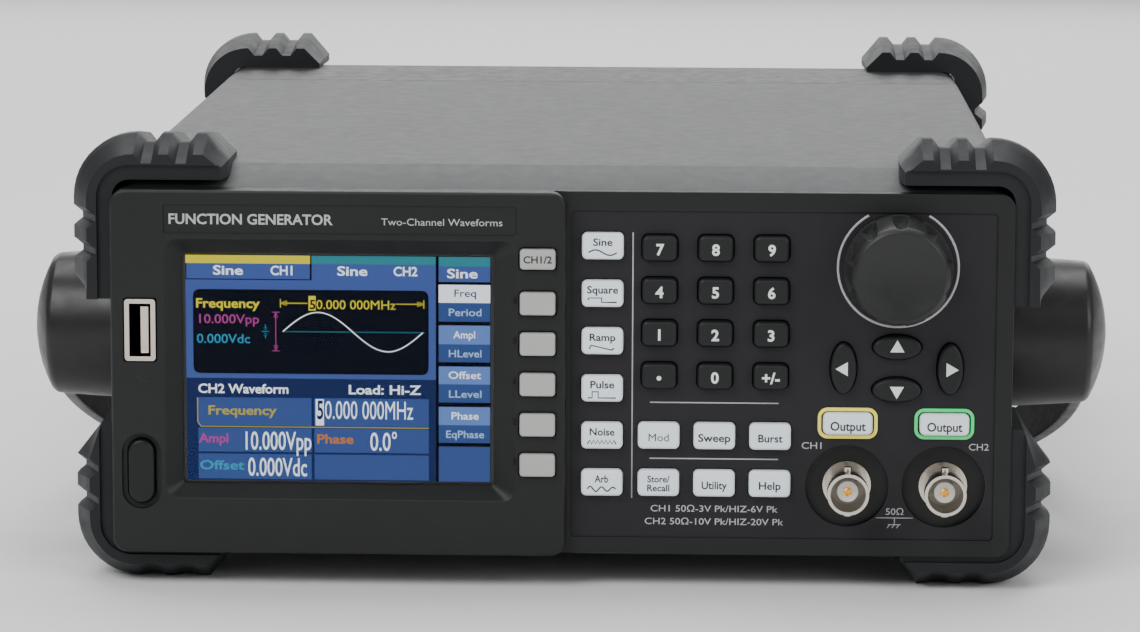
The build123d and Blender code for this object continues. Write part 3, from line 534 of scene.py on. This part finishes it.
plain_nodes = {
    "key_panel": panel_charcoal,
    "front_bezel": bezel_black,
    "power_button": power_black,
    "knob": knob_black,
    "encoder": steel,
    "encoder_shaft": steel,
    "handle": handle_black,
    "handle_pivots": steel,
    "display_window": window_clear,
    "lcd_module": inlet_black,
    "keypad_mat": silicone_grey,
    "front_board": board_green,
    "usb_sockets": nickel,
    "bnc_sockets": nickel,
    "socket_cores": insulator_white,
    "chassis": sheet_steel,
    "upper_case": case_grey,
    "lower_case": case_grey,
    "rear_panel": rear_black,
    "corner_bumpers": rubber,
    "main_board": board_green,
    "power_supply": board_green,
    "mains_inlet": inlet_black,
    "screws": screw_black,
}
plain_nodes.update({key: soft_key_grey for key in soft_keys})
plain_nodes.update({key: key_white for key in wave_keys + function_keys + output_keys})
plain_nodes.update({key: key_black for key in number_keys + arrow_keys})
for node, finish in plain_nodes.items():
    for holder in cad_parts[node].material_slots:
        holder.material = finish

# ---------------------------------------------------------------- shells, all but the bumpers with eased edges
bumper_set = copy_of("corner_bumpers", False)
smooth(bumper_set)
done(bumper_set, "bumper_set", rubber, HOUSING, "bumper_rubber", "corner_bumpers")
eased_copy("handle", "carry_handle", handle_black, "handle_body", "handle_plastic", 0.8 * MM, 3, 40)
eased_copy("knob", "turning_knob", knob_black, "knob_body", "knob_plastic", 0.2 * MM, 2, 30)
eased_copy("front_bezel", "front_frame", bezel_black, HOUSING, "bezel_plastic", 0.18 * MM, 2, 30)
eased_copy("rear_panel", "rear_housing", rear_black, HOUSING, "rear_plastic", 0.35 * MM, 2, 30)
eased_copy("upper_case", "case_top_shell", case_grey, HOUSING, "case_plastic", 0.3 * MM, 2, 30)
eased_copy("lower_case", "case_bottom_shell", case_grey, HOUSING, "case_plastic", 0.3 * MM, 2, 30)

# ---------------------------------------------------------------- display
window_low, window_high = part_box("display_window")
glass = block(
    (window_low.x, window_low.y, window_low.z),
    (window_high.x, window_low.y + 0.45 * MM, window_high.z),
)
round_corners(glass, 0.8 * MM)
ease(glass, 0.05 * MM)
done(glass, "display_glass", window_clear, HOUSING, "window_clear", "display_window")

screen_middle = middle("display_window")
DOTS_ACROSS = 320
DOTS_DOWN = 240
DOT = 71.0 * MM / DOTS_ACROSS
screen_left = screen_middle.x - DOT * DOTS_ACROSS / 2
screen_top = screen_middle.z + DOT * DOTS_DOWN / 2
LAYER = 0.04 * MM
screen_face = window_low.y + 0.85 * MM
screen_groups = {}


def dot_x(across):
    return screen_left + across * DOT


def dot_z(down):
    return screen_top - down * DOT


def keep_lit(piece, tone):
    screen_groups.setdefault(tone, []).append(piece)


def patch(tone, x0, x1, y0, y1, level, radius=0):
    """A lit patch between display dots, on a layer above the one before."""
    face = screen_face - level * LAYER
    piece = plate(dot_x(x0), dot_x(x1), dot_z(y1), dot_z(y0), face, LAYER * 0.9, radius * DOT)
    keep_lit(piece, tone)


def caption(tone, text, x0, x1, foot, cap=9.4, level=4, bold=0.03):
    """Display lettering that fills the width between two columns of dots."""
    face = screen_face - level * LAYER
    piece = words(text, dot_x(x0), dot_z(foot), face, cap * DOT, (x1 - x0) * DOT, "LEFT", bold)
    keep_lit(piece, tone)


def trace(tone, points, thickness, level=4):
    face = screen_face - level * LAYER
    placed = [(dot_x(x), dot_z(y)) for x, y in points]
    keep_lit(stroke(placed, face, thickness * DOT / 2, flat=0.1), tone)


tones = {
    "blue": (0.058, 0.105, 0.36),
    "navy": (0.009, 0.021, 0.10),
    "cell": (0.042, 0.088, 0.29),
    "night": (0.0008, 0.0018, 0.008),
    "black": (0.001, 0.001, 0.003),
    "light_blue": (0.13, 0.24, 0.62),
    "mid_blue": (0.036, 0.082, 0.27),
    "white": (1.1, 1.2, 1.3),
    "pale": (0.42, 0.60, 0.85),
    "yellow": (0.78, 0.70, 0.03),
    "olive": (0.46, 0.40, 0.04),
    "teal": (0.03, 0.24, 0.30),
    "cyan": (0.03, 0.32, 0.55),
    "sea": (0.02, 0.17, 0.24),
    "magenta": (0.44, 0.055, 0.30),
    "orange": (0.55, 0.19, 0.03),
}

patch("black", 0, 320, 0, 240, 0)
patch("blue", 0, 262.5, 26.5, 131, 1)
patch("blue", 132.5, 262.5, 9, 27, 1)
patch("blue", 1.0, 130.5, 9, 25.5, 1)
patch("yellow", 0, 130.8, 0.5, 9.2, 2)
patch("teal", 132.3, 262.5, 0.5, 9.2, 2)
patch("teal", 265.6, 319.5, 0.5, 10.5, 2)
patch("blue", 265.6, 319.5, 10.5, 27, 1)
patch("navy", 0, 262.5, 131, 240, 1)
patch("night", 7.5, 255, 36.6, 126, 2, 7)
caption("white", "Sine", 28.6, 60, 21)
caption("white", "CH1", 89, 112, 21)
caption("white", "Sine", 159, 190.6, 21)
caption("white", "CH2", 218, 243, 21)
caption("white", "Sine", 274, 306, 22.7)
caption("yellow", "Frequency", 10, 77, 56)
caption("magenta", "10.000Vpp", 11, 74, 72.7, bold=0.01)
caption("cyan", "0.000Vdc", 11, 67, 93.6, bold=0.01)
patch("yellow", 129, 136.5, 43, 58.5, 3)
caption("night", "5", 129.8, 136, 56.7, level=5)
caption("yellow", "0.000 000MHz", 137, 220, 56.7, bold=0.0)
trace("yellow", [(103, 50.8), (128, 50.8)], 0.9)
trace("yellow", [(221, 50.8), (246, 50.8)], 0.9)
for bar, tip, tail in ((99.5, 100.5, 106), (250, 249, 243.5)):
    trace("yellow", [(bar, 46.5), (bar, 55.5)], 0.9)
    trace("yellow", [(tip, 50.8), (tail, 48.2), (tail, 53.4), (tip, 50.8)], 0.9)
trace("magenta", [(94.5, 61), (94.5, 101)], 0.9)
for bar, tip, tail in ((60.5, 61.5, 66), (101.5, 100.5, 96)):
    trace("magenta", [(90.5, bar), (98.5, bar)], 0.9)
    trace("magenta", [(94.5, tip), (92.2, tail), (96.8, tail), (94.5, tip)], 0.9)
trace("sea", [(101.5, 81), (251, 81)], 1.1, 3)
trace("cyan", [(79.5, 81), (87.5, 81)], 0.7)
for start, tip, tail in ((73.5, 79.6, 77.0), (88.5, 82.4, 85.0)):
    trace("cyan", [(83.5, start), (83.5, tail)], 0.7)
    trace("cyan", [(83.5, tip), (81.6, tail), (85.4, tail), (83.5, tip)], 0.5)
sine_start = 102.0
sine_length = 147.0
sine_points = []
for step in range(61):
    turn = step / 60
    sine_points.append(
        (sine_start + turn * sine_length, 80.9 - 20.6 * math.sin(2 * math.pi * turn))
    )
trace("white", sine_points, 1.15, 5)
menu_rows = [
    ("Freq", "white", "navy", 30, 49, 42.5),
    ("Period", "mid_blue", "pale", 49, 69, 62.8),
    ("Ampl", "light_blue", "white", 73, 93, 86.5),
    ("HLevel", "mid_blue", "pale", 93, 112, 106.5),
    ("Offset", "light_blue", "white", 116.6, 135.5, 129.5),
    ("LLevel", "mid_blue", "pale", 135.5, 155, 149.5),
    ("Phase", "light_blue", "white", 159.6, 179, 172.8),
    ("EqPhase", "mid_blue", "pale", 179, 198, 192.5),
]
letter_width = 5.7
for text, ground, tone, top, foot, base in menu_rows:
    patch(ground, 265.6, 319.5, top, foot, 1)
    half = letter_width * len(text) / 2
    caption(tone, text, 292.5 - half, 292.5 + half, base, 7.6, bold=0.015)
patch("cell", 265.6, 319.5, 202, 239.5, 1)
caption("white", "CH2 Waveform", 12, 107, 146.8)
caption("white", "Load: Hi-Z", 170, 246, 146.8)
for top, foot in ((151.6, 181.6), (184, 209.6), (211.8, 238.5)):
    patch("cell", 12, 131.5, top, foot, 2)
    patch("cell", 134.5, 255, top, foot, 2)
trace("olive", [(11.5, 152), (11.5, 178), (15, 182.6), (255, 182.6)], 1.0)
caption("olive", "Frequency", 22, 94, 169.8)
patch("white", 136, 144.6, 152.6, 180.6, 3)
caption("navy", "5", 137, 143.6, 173.5, 19, 5)
caption("white", "0.000 000MHz", 145.4, 238, 173.5, 19, bold=0.0)
caption("magenta", "Ampl", 13, 44, 199.7)
caption("white", "10.000Vpp", 58.6, 128, 207, 19, bold=0.01)
caption("orange", "Phase", 136.7, 175, 199.7)
caption("white", "0.0°", 193, 221, 207, 19, bold=0.01)
caption("cyan", "Offset", 13, 60, 228.6)
caption("white", "0.000Vdc", 64, 126, 235, 19, bold=0.01)
for tone, parts in screen_groups.items():
    lit = glow(f"display {tone}", tones[tone])
    done(weld(parts), f"screen_{tone}", lit, HOUSING, "display")

# ---------------------------------------------------------------- key legends
CAP = 1.75 * MM


def legend(node, text, cap=CAP, width=None, drop=0.0, finish=print_dark, bold=0.03, slot="white_key"):
    low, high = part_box(node)
    centre = (low + high) / 2
    piece = words(text, centre.x, centre.z - cap / 2 - drop, low.y, cap, width, "CENTER", bold)
    return done(piece, f"{node}_legend", finish, f"{node}_body", slot)


legend("channel_key", "CH1/2", 1.6 * MM, 6.6 * MM, 0.0, print_dark, 0.03, "grey_key")
for node, text, width in (
    ("mod_key", "Mod", 4.7),
    ("sweep_key", "Sweep", 7.5),
    ("burst_key", "Burst", 5.7),
    ("utility_key", "Utility", 5.9),
    ("help_key", "Help", 5.1),
):
    legend(node, text, CAP, width * MM, 0.35 * MM, bold=0.0 if text == "Mod" else 0.03)
for node in output_keys:
    legend(node, "Output", 2.0 * MM, 8.2 * MM, 0.5 * MM)
number_texts = ["7", "8", "9", "4", "5", "6", "1", "2", "3", ".", "0", "+/-"]
for node, text in zip(number_keys, number_texts):
    if text == ".":
        low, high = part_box(node)
        centre = (low + high) / 2
        dot = drum((centre.x, low.y, centre.z - 0.4 * MM), 0.55 * MM, 2 * INK, 24)
        done(dot, f"{node}_legend", print_white, f"{node}_body", "black_key")
    else:
        legend(node, text, 2.45 * MM, None, 0.2 * MM, print_white, 0.045, "black_key")

store_low, store_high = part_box("store_key")
store_x = (store_low.x + store_high.x) / 2
store_z = (store_low.z + store_high.z) / 2
store_text = weld(
    [
        words("Store/", store_x, store_z + 0.25 * MM, store_low.y, 1.5 * MM, 5.2 * MM, "CENTER", 0.03),
        words("Recall", store_x, store_z - 1.85 * MM, store_low.y, 1.5 * MM, 5.2 * MM, "CENTER", 0.03),
    ]
)
done(store_text, "store_key_legend", print_dark, "store_key_body", "white_key")


def ripple(shape, count, low, high):
    return [(low + (high - low) * step / count, shape(step / count)) for step in range(count + 1)]


wave_icons = {
    "sine": ripple(lambda t: 0.62 * math.sin(2 * math.pi * t), 24, -3.3, 3.3),
    "square": [(-3.3, 0.0), (-3.3, 0.5), (-0.2, 0.5), (-0.2, -0.5), (3.3, -0.5)],
    "ramp": [(-3.0, -0.3), (-2.6, 0.55), (2.2, -0.55), (2.7, -0.1)],
    "pulse": [(-3.3, -0.7), (-2.3, -0.7), (-2.3, 0.75), (-0.9, 0.75), (-0.9, -0.7), (3.2, -0.7)],
    "noise": [(-3.3 + 0.472 * step, 0.45 if step % 2 else -0.45) for step in range(15)],
    "arb": ripple(lambda t: 0.65 * math.sin(5 * math.pi * t) * (1 - 0.35 * t), 40, -3.3, 3.3),
}
wave_widths = {"sine": 4.5, "square": 7.2, "ramp": 6.0, "pulse": 5.6, "noise": 5.8, "arb": 3.2}
for name, points in wave_icons.items():
    low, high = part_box(f"{name}_key")
    centre = (low + high) / 2
    text = words(
        name.capitalize(),
        centre.x,
        centre.z + 0.15 * MM,
        low.y,
        1.65 * MM,
        wave_widths[name] * MM,
        "CENTER",
        0.03,
    )
    icon_z = centre.z - 1.45 * MM
    icon = stroke([(centre.x + x * MM, icon_z + z * MM) for x, z in points], low.y, 0.17 * MM)
    done(weld([text, icon]), f"{name}_key_legend", print_dark, f"{name}_key_body", "white_key")

arrow_turns = {"up": 0.0, "left": math.pi / 2, "down": math.pi, "right": -math.pi / 2}
for name, turn in arrow_turns.items():
    node = f"arrow_key_{name}"
    low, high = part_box(node)
    centre = (low + high) / 2
    mark = drum((0, 0, 0), 1.9 * MM, 2 * INK, 3)
    settle(mark)
    top = max(mark.data.vertices, key=lambda v: abs(v.co.x) + abs(v.co.z)).co
    lean = math.atan2(top.x, top.z)
    mark.rotation_euler = (0, -lean - turn, 0)
    mark.location = (centre.x, low.y, centre.z)
    settle(mark)
    outward(mark)
    done(mark, f"{node}_legend", print_white, f"{node}_body", "black_key")

# ---------------------------------------------------------------- panel printing
panel_low, panel_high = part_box("key_panel")
panel_ink = panel_low.y


def rule(x0, z0, x1, z1, name, radius=0.16 * MM):
    line = stroke([(x0, z0), (x1, z1)], panel_ink, radius)
    return done(line, name, print_grey, HOUSING, "panel_film")


wave_middle = middle("sine_key")
number_left = middle("number_key_7")
number_right = middle("number_key_9")
rule_x = (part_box("sine_key")[1].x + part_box("number_key_7")[0].x) / 2
rule(rule_x, wave_middle.z + 3.1 * MM, rule_x, middle("arb_key").z - 3.8 * MM, "wave_column_rule")
key_rules = (
    ("number_key_0", "sweep_key", "number_rule"),
    ("sweep_key", "utility_key", "function_rule"),
)
for upper, lower, name in key_rules:
    rule_z = (middle(upper).z + middle(lower).z) / 2
    if name == "number_rule":
        rule_z += 0.6 * MM
    rule(number_left.x - 2.1 * MM, rule_z, number_right.x + 1.9 * MM, rule_z, name)

rating_x = middle("sweep_key").x
ratings = (("CH1 50Ω-3V Pk/HIZ-6V Pk", 29.6), ("CH2 50Ω-10V Pk/HIZ-20V Pk", 32.3))
for row, (text, width) in enumerate(ratings):
    line = words(text, rating_x, (18.0 - 3.05 * row) * MM, panel_ink, 1.5 * MM, width * MM)
    done(line, f"rating_line_{row + 1}", print_grey, HOUSING, "panel_film")

knob_centre = middle("knob")
ring_radius = 13.9 * MM
ring_points = []
for step in range(121):
    angle = math.radians(90 + 360 * step / 120)
    ring_points.append(
        (knob_centre.x + ring_radius * math.cos(angle), knob_centre.z + ring_radius * math.sin(angle)),
    )
ring_limit = panel_high.z - 0.5 * MM
ring_points = [point for point in ring_points if point[1] < ring_limit]
done(stroke(ring_points, panel_ink, 0.3 * MM), "knob_ring_line", print_grey, HOUSING, "panel_film")

RING_HALF_WIDTH = 6.95 * MM
RING_HALF_HEIGHT = 3.65 * MM
RING_HEIGHT = 0.55 * MM
RING_LINE = 0.82 * MM
for number, tone in ((1, ring_yellow), (2, ring_green)):
    key = middle(f"output_key_{number}")
    outer = block(
        (key.x - RING_HALF_WIDTH, panel_ink - RING_HEIGHT, key.z - RING_HALF_HEIGHT),
        (key.x + RING_HALF_WIDTH, panel_ink, key.z + RING_HALF_HEIGHT),
    )
    round_corners(outer, 2.3 * MM, 8)
    pick(outer, lambda face: face.normal.y < -0.9)
    bpy.ops.mesh.inset(thickness=RING_LINE)
    bpy.ops.mesh.delete(type="FACE")
    bpy.ops.object.mode_set(mode="OBJECT")
    pick(outer, lambda face: face.normal.y > 0.9)
    bpy.ops.mesh.inset(thickness=RING_LINE)
    bpy.ops.mesh.delete(type="FACE")
    bpy.ops.mesh.select_mode(type="EDGE")
    bpy.ops.mesh.select_all(action="DESELECT")
    bpy.ops.mesh.select_non_manifold()
    bpy.ops.mesh.bridge_edge_loops()
    bpy.ops.object.mode_set(mode="OBJECT")
    outward(outer)
    ease(outer, 0.2 * MM, 3, 40)
    smooth(outer)
    done(outer, f"output_ring_{number}", tone, HOUSING, "panel_film")
    side = -1 if number == 1 else 1
    label = words(
        f"CH{number}", key.x + side * 8.1 * MM, key.z - 6.2 * MM, panel_ink, 1.55 * MM, 4.6 * MM
    )
    done(label, f"channel_label_{number}", print_grey, HOUSING, "panel_film")

ground_x = (middle("output_key_1").x + middle("output_key_2").x) / 2
ground_z = 17.0 * MM
ground_parts = [words("50Ω", ground_x, ground_z + 0.75 * MM, panel_ink, 1.5 * MM, 4.1 * MM)]
ground_lines = [
    [(-4.3, 0.0), (4.3, 0.0)],
    [(0.0, 0.0), (0.0, -1.6)],
    [(-1.5, -1.6), (1.5, -1.6)],
    [(-1.1, -1.6), (-1.7, -2.4)],
    [(0.0, -1.6), (-0.6, -2.4)],
    [(1.1, -1.6), (0.5, -2.4)],
]
for points in ground_lines:
    placed = [(ground_x + x * MM, ground_z + z * MM) for x, z in points]
    ground_parts.append(stroke(placed, panel_ink, 0.11 * MM))
done(weld(ground_parts), "ground_mark", print_grey, HOUSING, "panel_film")

# ---------------------------------------------------------------- display half printing
bezel_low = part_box("front_bezel")[0]
glass_frame_right = screen_middle.x + 41.7 * MM
for number in range(1, 6):
    key_low, key_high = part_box(f"menu_key_{number}")
    key_z = (key_low.z + key_high.z) / 2
    # raised lines in painted groove shade stand in for the leader grooves
    grooves = []
    for rise, fall in ((1.6, 0.9), (0.6, 0.0)):
        grooves.append(
            stroke(
                [
                    (glass_frame_right, key_z + rise * MM),
                    (key_low.x - 1.8 * MM, key_z + fall * MM),
                    (key_low.x - 0.1 * MM, key_z + fall * MM),
                ],
                bezel_low.y,
                0.12 * MM,
                flat=0.4,
            )
        )
    done(weld(grooves), f"leader_lines_{number}", groove_shade_ink, HOUSING, "bezel_plastic")

title_face = bezel_low.y + 0.3 * MM
title_z = 85.4 * MM
title_left = screen_middle.x - 39.0 * MM
title_right = title_left + 77.5 * MM
title = weld(
    [
        words("FUNCTION GENERATOR", title_left, title_z, title_face, 2.3 * MM, 38.0 * MM, "LEFT", 0.03),
        words("Two-Channel Waveforms", title_right, title_z, title_face, 1.6 * MM, 28.0 * MM, "RIGHT"),
    ]
)
done(title, "title_lettering", print_grey, HOUSING, "bezel_plastic")


# ---------------------------------------------------------------- sockets
def socket_fill(x, z, mouth_y, direction):
    """White insulator with a gold centre contact inside one coaxial socket."""
    collar_front = 4.0 * MM
    collar_back = 9.9 * MM
    body_middle = mouth_y + direction * (collar_front + collar_back) / 2
    collar = drum((x, body_middle, z), 2.45 * MM, collar_back - collar_front, 40)
    pick(collar, lambda face: abs(face.normal.y) > 0.9)
    bpy.ops.mesh.inset(thickness=1.7 * MM)
    bpy.ops.object.mode_set(mode="OBJECT")
    ease(collar, 0.12 * MM, 2, 40)
    smooth(collar)
    base = drum((x, mouth_y + direction * 12.0 * MM, z), 4.1 * MM, 4.4 * MM, 40)
    pin = drum((x, mouth_y + direction * 6.4 * MM, z), 1.0 * MM, 5.4 * MM, 24)
    pick(pin, lambda face: face.normal.y * direction < -0.9)
    bpy.ops.mesh.inset(thickness=0.5 * MM)
    bpy.ops.transform.translate(value=(0, direction * 0.2 * MM, 0))
    bpy.ops.object.mode_set(mode="OBJECT")
    outward(pin)
    return weld([collar, base]), pin


FRONT_SOCKET_Z = 24.5 * MM
REAR_SOCKET_Z = 66.5 * MM
cores = []
pins = []
bnc_low, bnc_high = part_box("bnc_sockets")
front_mouth = bnc_low.y
front_spots = [(middle(key).x, FRONT_SOCKET_Z) for key in output_keys]
rear_mouth = bnc_high.y
rear_spots = [(bnc_low.x + (5.63 + 24.0 * spot) * MM, REAR_SOCKET_Z) for spot in range(4)]
for spots, mouth, direction in ((front_spots, front_mouth, 1), (rear_spots, rear_mouth, -1)):
    for x, z in spots:
        core, pin = socket_fill(x, z, mouth, direction)
        cores.append(core)
        pins.append(pin)
done(weld(cores), "socket_insulators", insulator_white, HOUSING, "insulator", "socket_cores")
done(weld(pins), "socket_pins", gold, HOUSING, "plated_metal")

power_low, power_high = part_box("power_button")
usb_x = (power_low.x + power_high.x) / 2
usb_z = 60.5 * MM
usb_face = bezel_low.y - 0.2 * MM
tongue = block(
    (usb_x + 0.05 * MM, usb_face + 0.7 * MM, usb_z - 5.5 * MM),
    (usb_x + 1.95 * MM, usb_face + 12.5 * MM, usb_z + 5.5 * MM),
)
ease(tongue, 0.2 * MM)
done(tongue, "usb_tongue", nickel, HOUSING, "plated_metal")
strips = []
for across in (-3.5, -1.0, 1.0, 3.5):
    strip = block(
        (usb_x - 0.15 * MM, usb_face + 2.2 * MM, usb_z + (across - 0.5) * MM),
        (usb_x + 0.06 * MM, usb_face + 11.0 * MM, usb_z + (across + 0.5) * MM),
    )
    ease(strip, 0.05 * MM)
    strips.append(strip)
done(weld(strips), "usb_contacts", gold, HOUSING, "plated_metal")
mark_z = 49.5 * MM
# the USB mark is a raised line in painted groove shade, not a cut
usb_mark = weld(
    [
        stroke([(usb_x + x * MM, mark_z + z * MM) for x, z in points], bezel_low.y, 0.14 * MM)
        for points in (
            [(-2.8, 0.0), (2.8, 0.0)],
            [(-1.6, 0.0), (-0.6, 0.9), (1.0, 0.9)],
            [(-0.6, 0.0), (0.4, -0.9), (1.6, -0.9)],
            [(2.2, 0.4), (2.9, 0.0), (2.2, -0.4)],
        )
    ]
)
done(usb_mark, "usb_mark", groove_shade_ink, HOUSING, "bezel_plastic")

# ---------------------------------------------------------------- rear
inlet_low, inlet_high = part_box("mains_inlet")
inlet_x = (inlet_low.x + inlet_high.x) / 2
inlet_z = (inlet_low.z + inlet_high.z) / 2
blade_tip = inlet_high.y - 5.45 * MM
blade_root = inlet_high.y - 20.0 * MM
blades = []
for across, up in ((-7.0, -2.0), (0.0, 2.0), (7.0, -2.0)):
    x = inlet_x + across * MM
    z = inlet_z + up * MM
    blade = block(
        (x - 1.05 * MM, blade_root, z - 2.05 * MM), (x + 1.05 * MM, blade_tip, z + 2.05 * MM)
    )
    ease(blade, 0.35 * MM, 3)
    smooth(blade)
    blades.append(blade)
done(weld(blades), "inlet_blades", nickel, HOUSING, "plated_metal")

rear_face = rear_mouth - 13.0 * MM
usb_b_x = rear_spots[0][0] + 100.0 * MM
usb_b_z = REAR_SOCKET_Z
usb_b_core = block(
    (usb_b_x - 2.8 * MM, rear_face - 13.0 * MM, usb_b_z - 1.6 * MM),
    (usb_b_x + 2.8 * MM, rear_face - 1.0 * MM, usb_b_z + 1.6 * MM),
)
ease(usb_b_core, 0.3 * MM)
done(usb_b_core, "usb_b_core", insulator_white, HOUSING, "insulator")
rear_label_z = REAR_SOCKET_Z + 8.6 * MM
rear_names = ("SYNC", "MOD IN", "TRIG", "REF IN")
rear_texts = [(text, x, rear_label_z) for text, (x, z) in zip(rear_names, rear_spots)]
rear_texts.append(("USB", usb_b_x, rear_label_z))
rear_texts.append(("100-240 V  50/60 Hz", inlet_x, inlet_z - 16.5 * MM))
rear_labels = [words(text, x, z, rear_face, 1.9 * MM, facing=-1) for text, x, z in rear_texts]
done(weld(rear_labels), "rear_lettering", print_grey, HOUSING, "rear_plastic")


RECESS_HALF_WIDTH = 0.35 * MM
RECESS_REACH = 1.5 * MM
RECESS_DEPTH = 0.9 * MM


def cross_recess(screw):
    """Cuts a cross into the head end of one screw, whichever way it points."""
    corners = [Vector(vertex.co) for vertex in screw.data.vertices]
    low = Vector([min(corner[i] for corner in corners) for i in range(3)])
    high = Vector([max(corner[i] for corner in corners) for i in range(3)])
    size = high - low
    axis = max(range(3), key=lambda i: size[i])
    side_axis = (axis + 1) % 3
    centre = (low + high) / 2

    def reach(end):
        near = [corner for corner in corners if abs(corner[axis] - end) < 0.05 * MM]
        return max(abs(corner[side_axis] - centre[side_axis]) for corner in near)

    head_high = reach(high[axis]) > reach(low[axis])
    head_end = high[axis] if head_high else low[axis]
    place = Vector(centre)
    place[axis] = head_end
    for long_axis in ((axis + 1) % 3, (axis + 2) % 3):
        half = Vector((1, 1, 1)) * RECESS_HALF_WIDTH
        half[long_axis] = RECESS_REACH
        half[axis] = RECESS_DEPTH
        bar = block(place - half, place + half)
        cut = screw.modifiers.new("recess", "BOOLEAN")
        cut.operation = "DIFFERENCE"
        cut.solver = "EXACT"
        cut.object = bar
        take(screw)
        bpy.ops.object.modifier_apply(modifier=cut.name)
        bpy.data.objects.remove(bar)
    return screw


screw_stock = copy_of("screws")
take(screw_stock)
bpy.ops.object.mode_set(mode="EDIT")
bpy.ops.mesh.select_all(action="SELECT")
bpy.ops.mesh.separate(type="LOOSE")
bpy.ops.object.mode_set(mode="OBJECT")
screw_pieces = [cross_recess(piece) for piece in list(bpy.context.selected_objects)]
screw_set = weld(screw_pieces)
ease(screw_set, 0.12 * MM, 2, 40)
smooth(screw_set)
done(screw_set, "screw_set", screw_black, HOUSING, "screw_steel", "screws")

# ---------------------------------------------------------------- studio
FLOOR_GAP = 0.2 * MM  # keeps the floor clear of the resting faces
deselect()
bpy.ops.mesh.primitive_plane_add(size=6.0, location=(0, 0, cad_box[0][2] - FLOOR_GAP))
floor = bpy.context.object
floor.name = "floor"
floor_finish = surface(
    "floor paper", (0.80, 0.80, 0.80), 0.7, grain=300.0, grain_depth=0.01 * MM, blotch=0.01
)
dress(floor, floor_finish)


def softbox(name, place, aim, width, height, power, colour=(1, 1, 1)):
    deselect()
    bpy.ops.object.light_add(type="AREA", location=place)
    lamp = bpy.context.object
    lamp.name = name
    lamp.data.shape = "RECTANGLE"
    lamp.data.size = width
    lamp.data.size_y = height
    lamp.data.energy = power
    lamp.data.color = colour
    direction = Vector(aim) - Vector(place)
    lamp.rotation_euler = direction.to_track_quat("-Z", "Y").to_euler()
    return lamp


softbox("key_light", (-0.75, -1.15, 1.25), (0, -0.05, 0.05), 0.9, 0.9, 20)
softbox("fill_light", (1.15, -0.95, 0.75), (0, -0.05, 0.05), 0.9, 0.9, 9)
softbox("top_light", (0.0, 0.35, 1.35), (0, 0.0, 0.05), 1.4, 0.8, 16)
softbox("back_light", (0.0, 1.5, 0.55), (0, 0.0, 0.08), 1.8, 0.7, 10)

world = bpy.context.scene.world or bpy.data.worlds.new("studio")
bpy.context.scene.world = world
world.use_nodes = True
backdrop = world.node_tree.nodes["Background"]
backdrop.inputs["Color"].default_value = (0.93, 0.94, 0.95, 1)
backdrop.inputs["Strength"].default_value = 0.42

deselect()
bpy.ops.object.camera_add(location=(0.0343, -1.11795, 0.2176))
camera = bpy.context.object
camera.name = "studio_camera"
yaw = Matrix.Rotation(math.radians(1.88), 4, "Z")
pitch = Matrix.Rotation(math.radians(-8.85), 4, "X")
roll = Matrix.Rotation(math.radians(-0.22), 4, "Y")
level = Matrix.Rotation(math.radians(90), 4, "X")
camera.matrix_world = Matrix.Translation(camera.location) @ yaw @ pitch @ roll @ level
camera.data.sensor_fit = "HORIZONTAL"
camera.data.sensor_width = 36.0
camera.data.lens = 135.88
camera.data.clip_start = 0.01
camera.data.clip_end = 20.0
bpy.context.scene.camera = camera
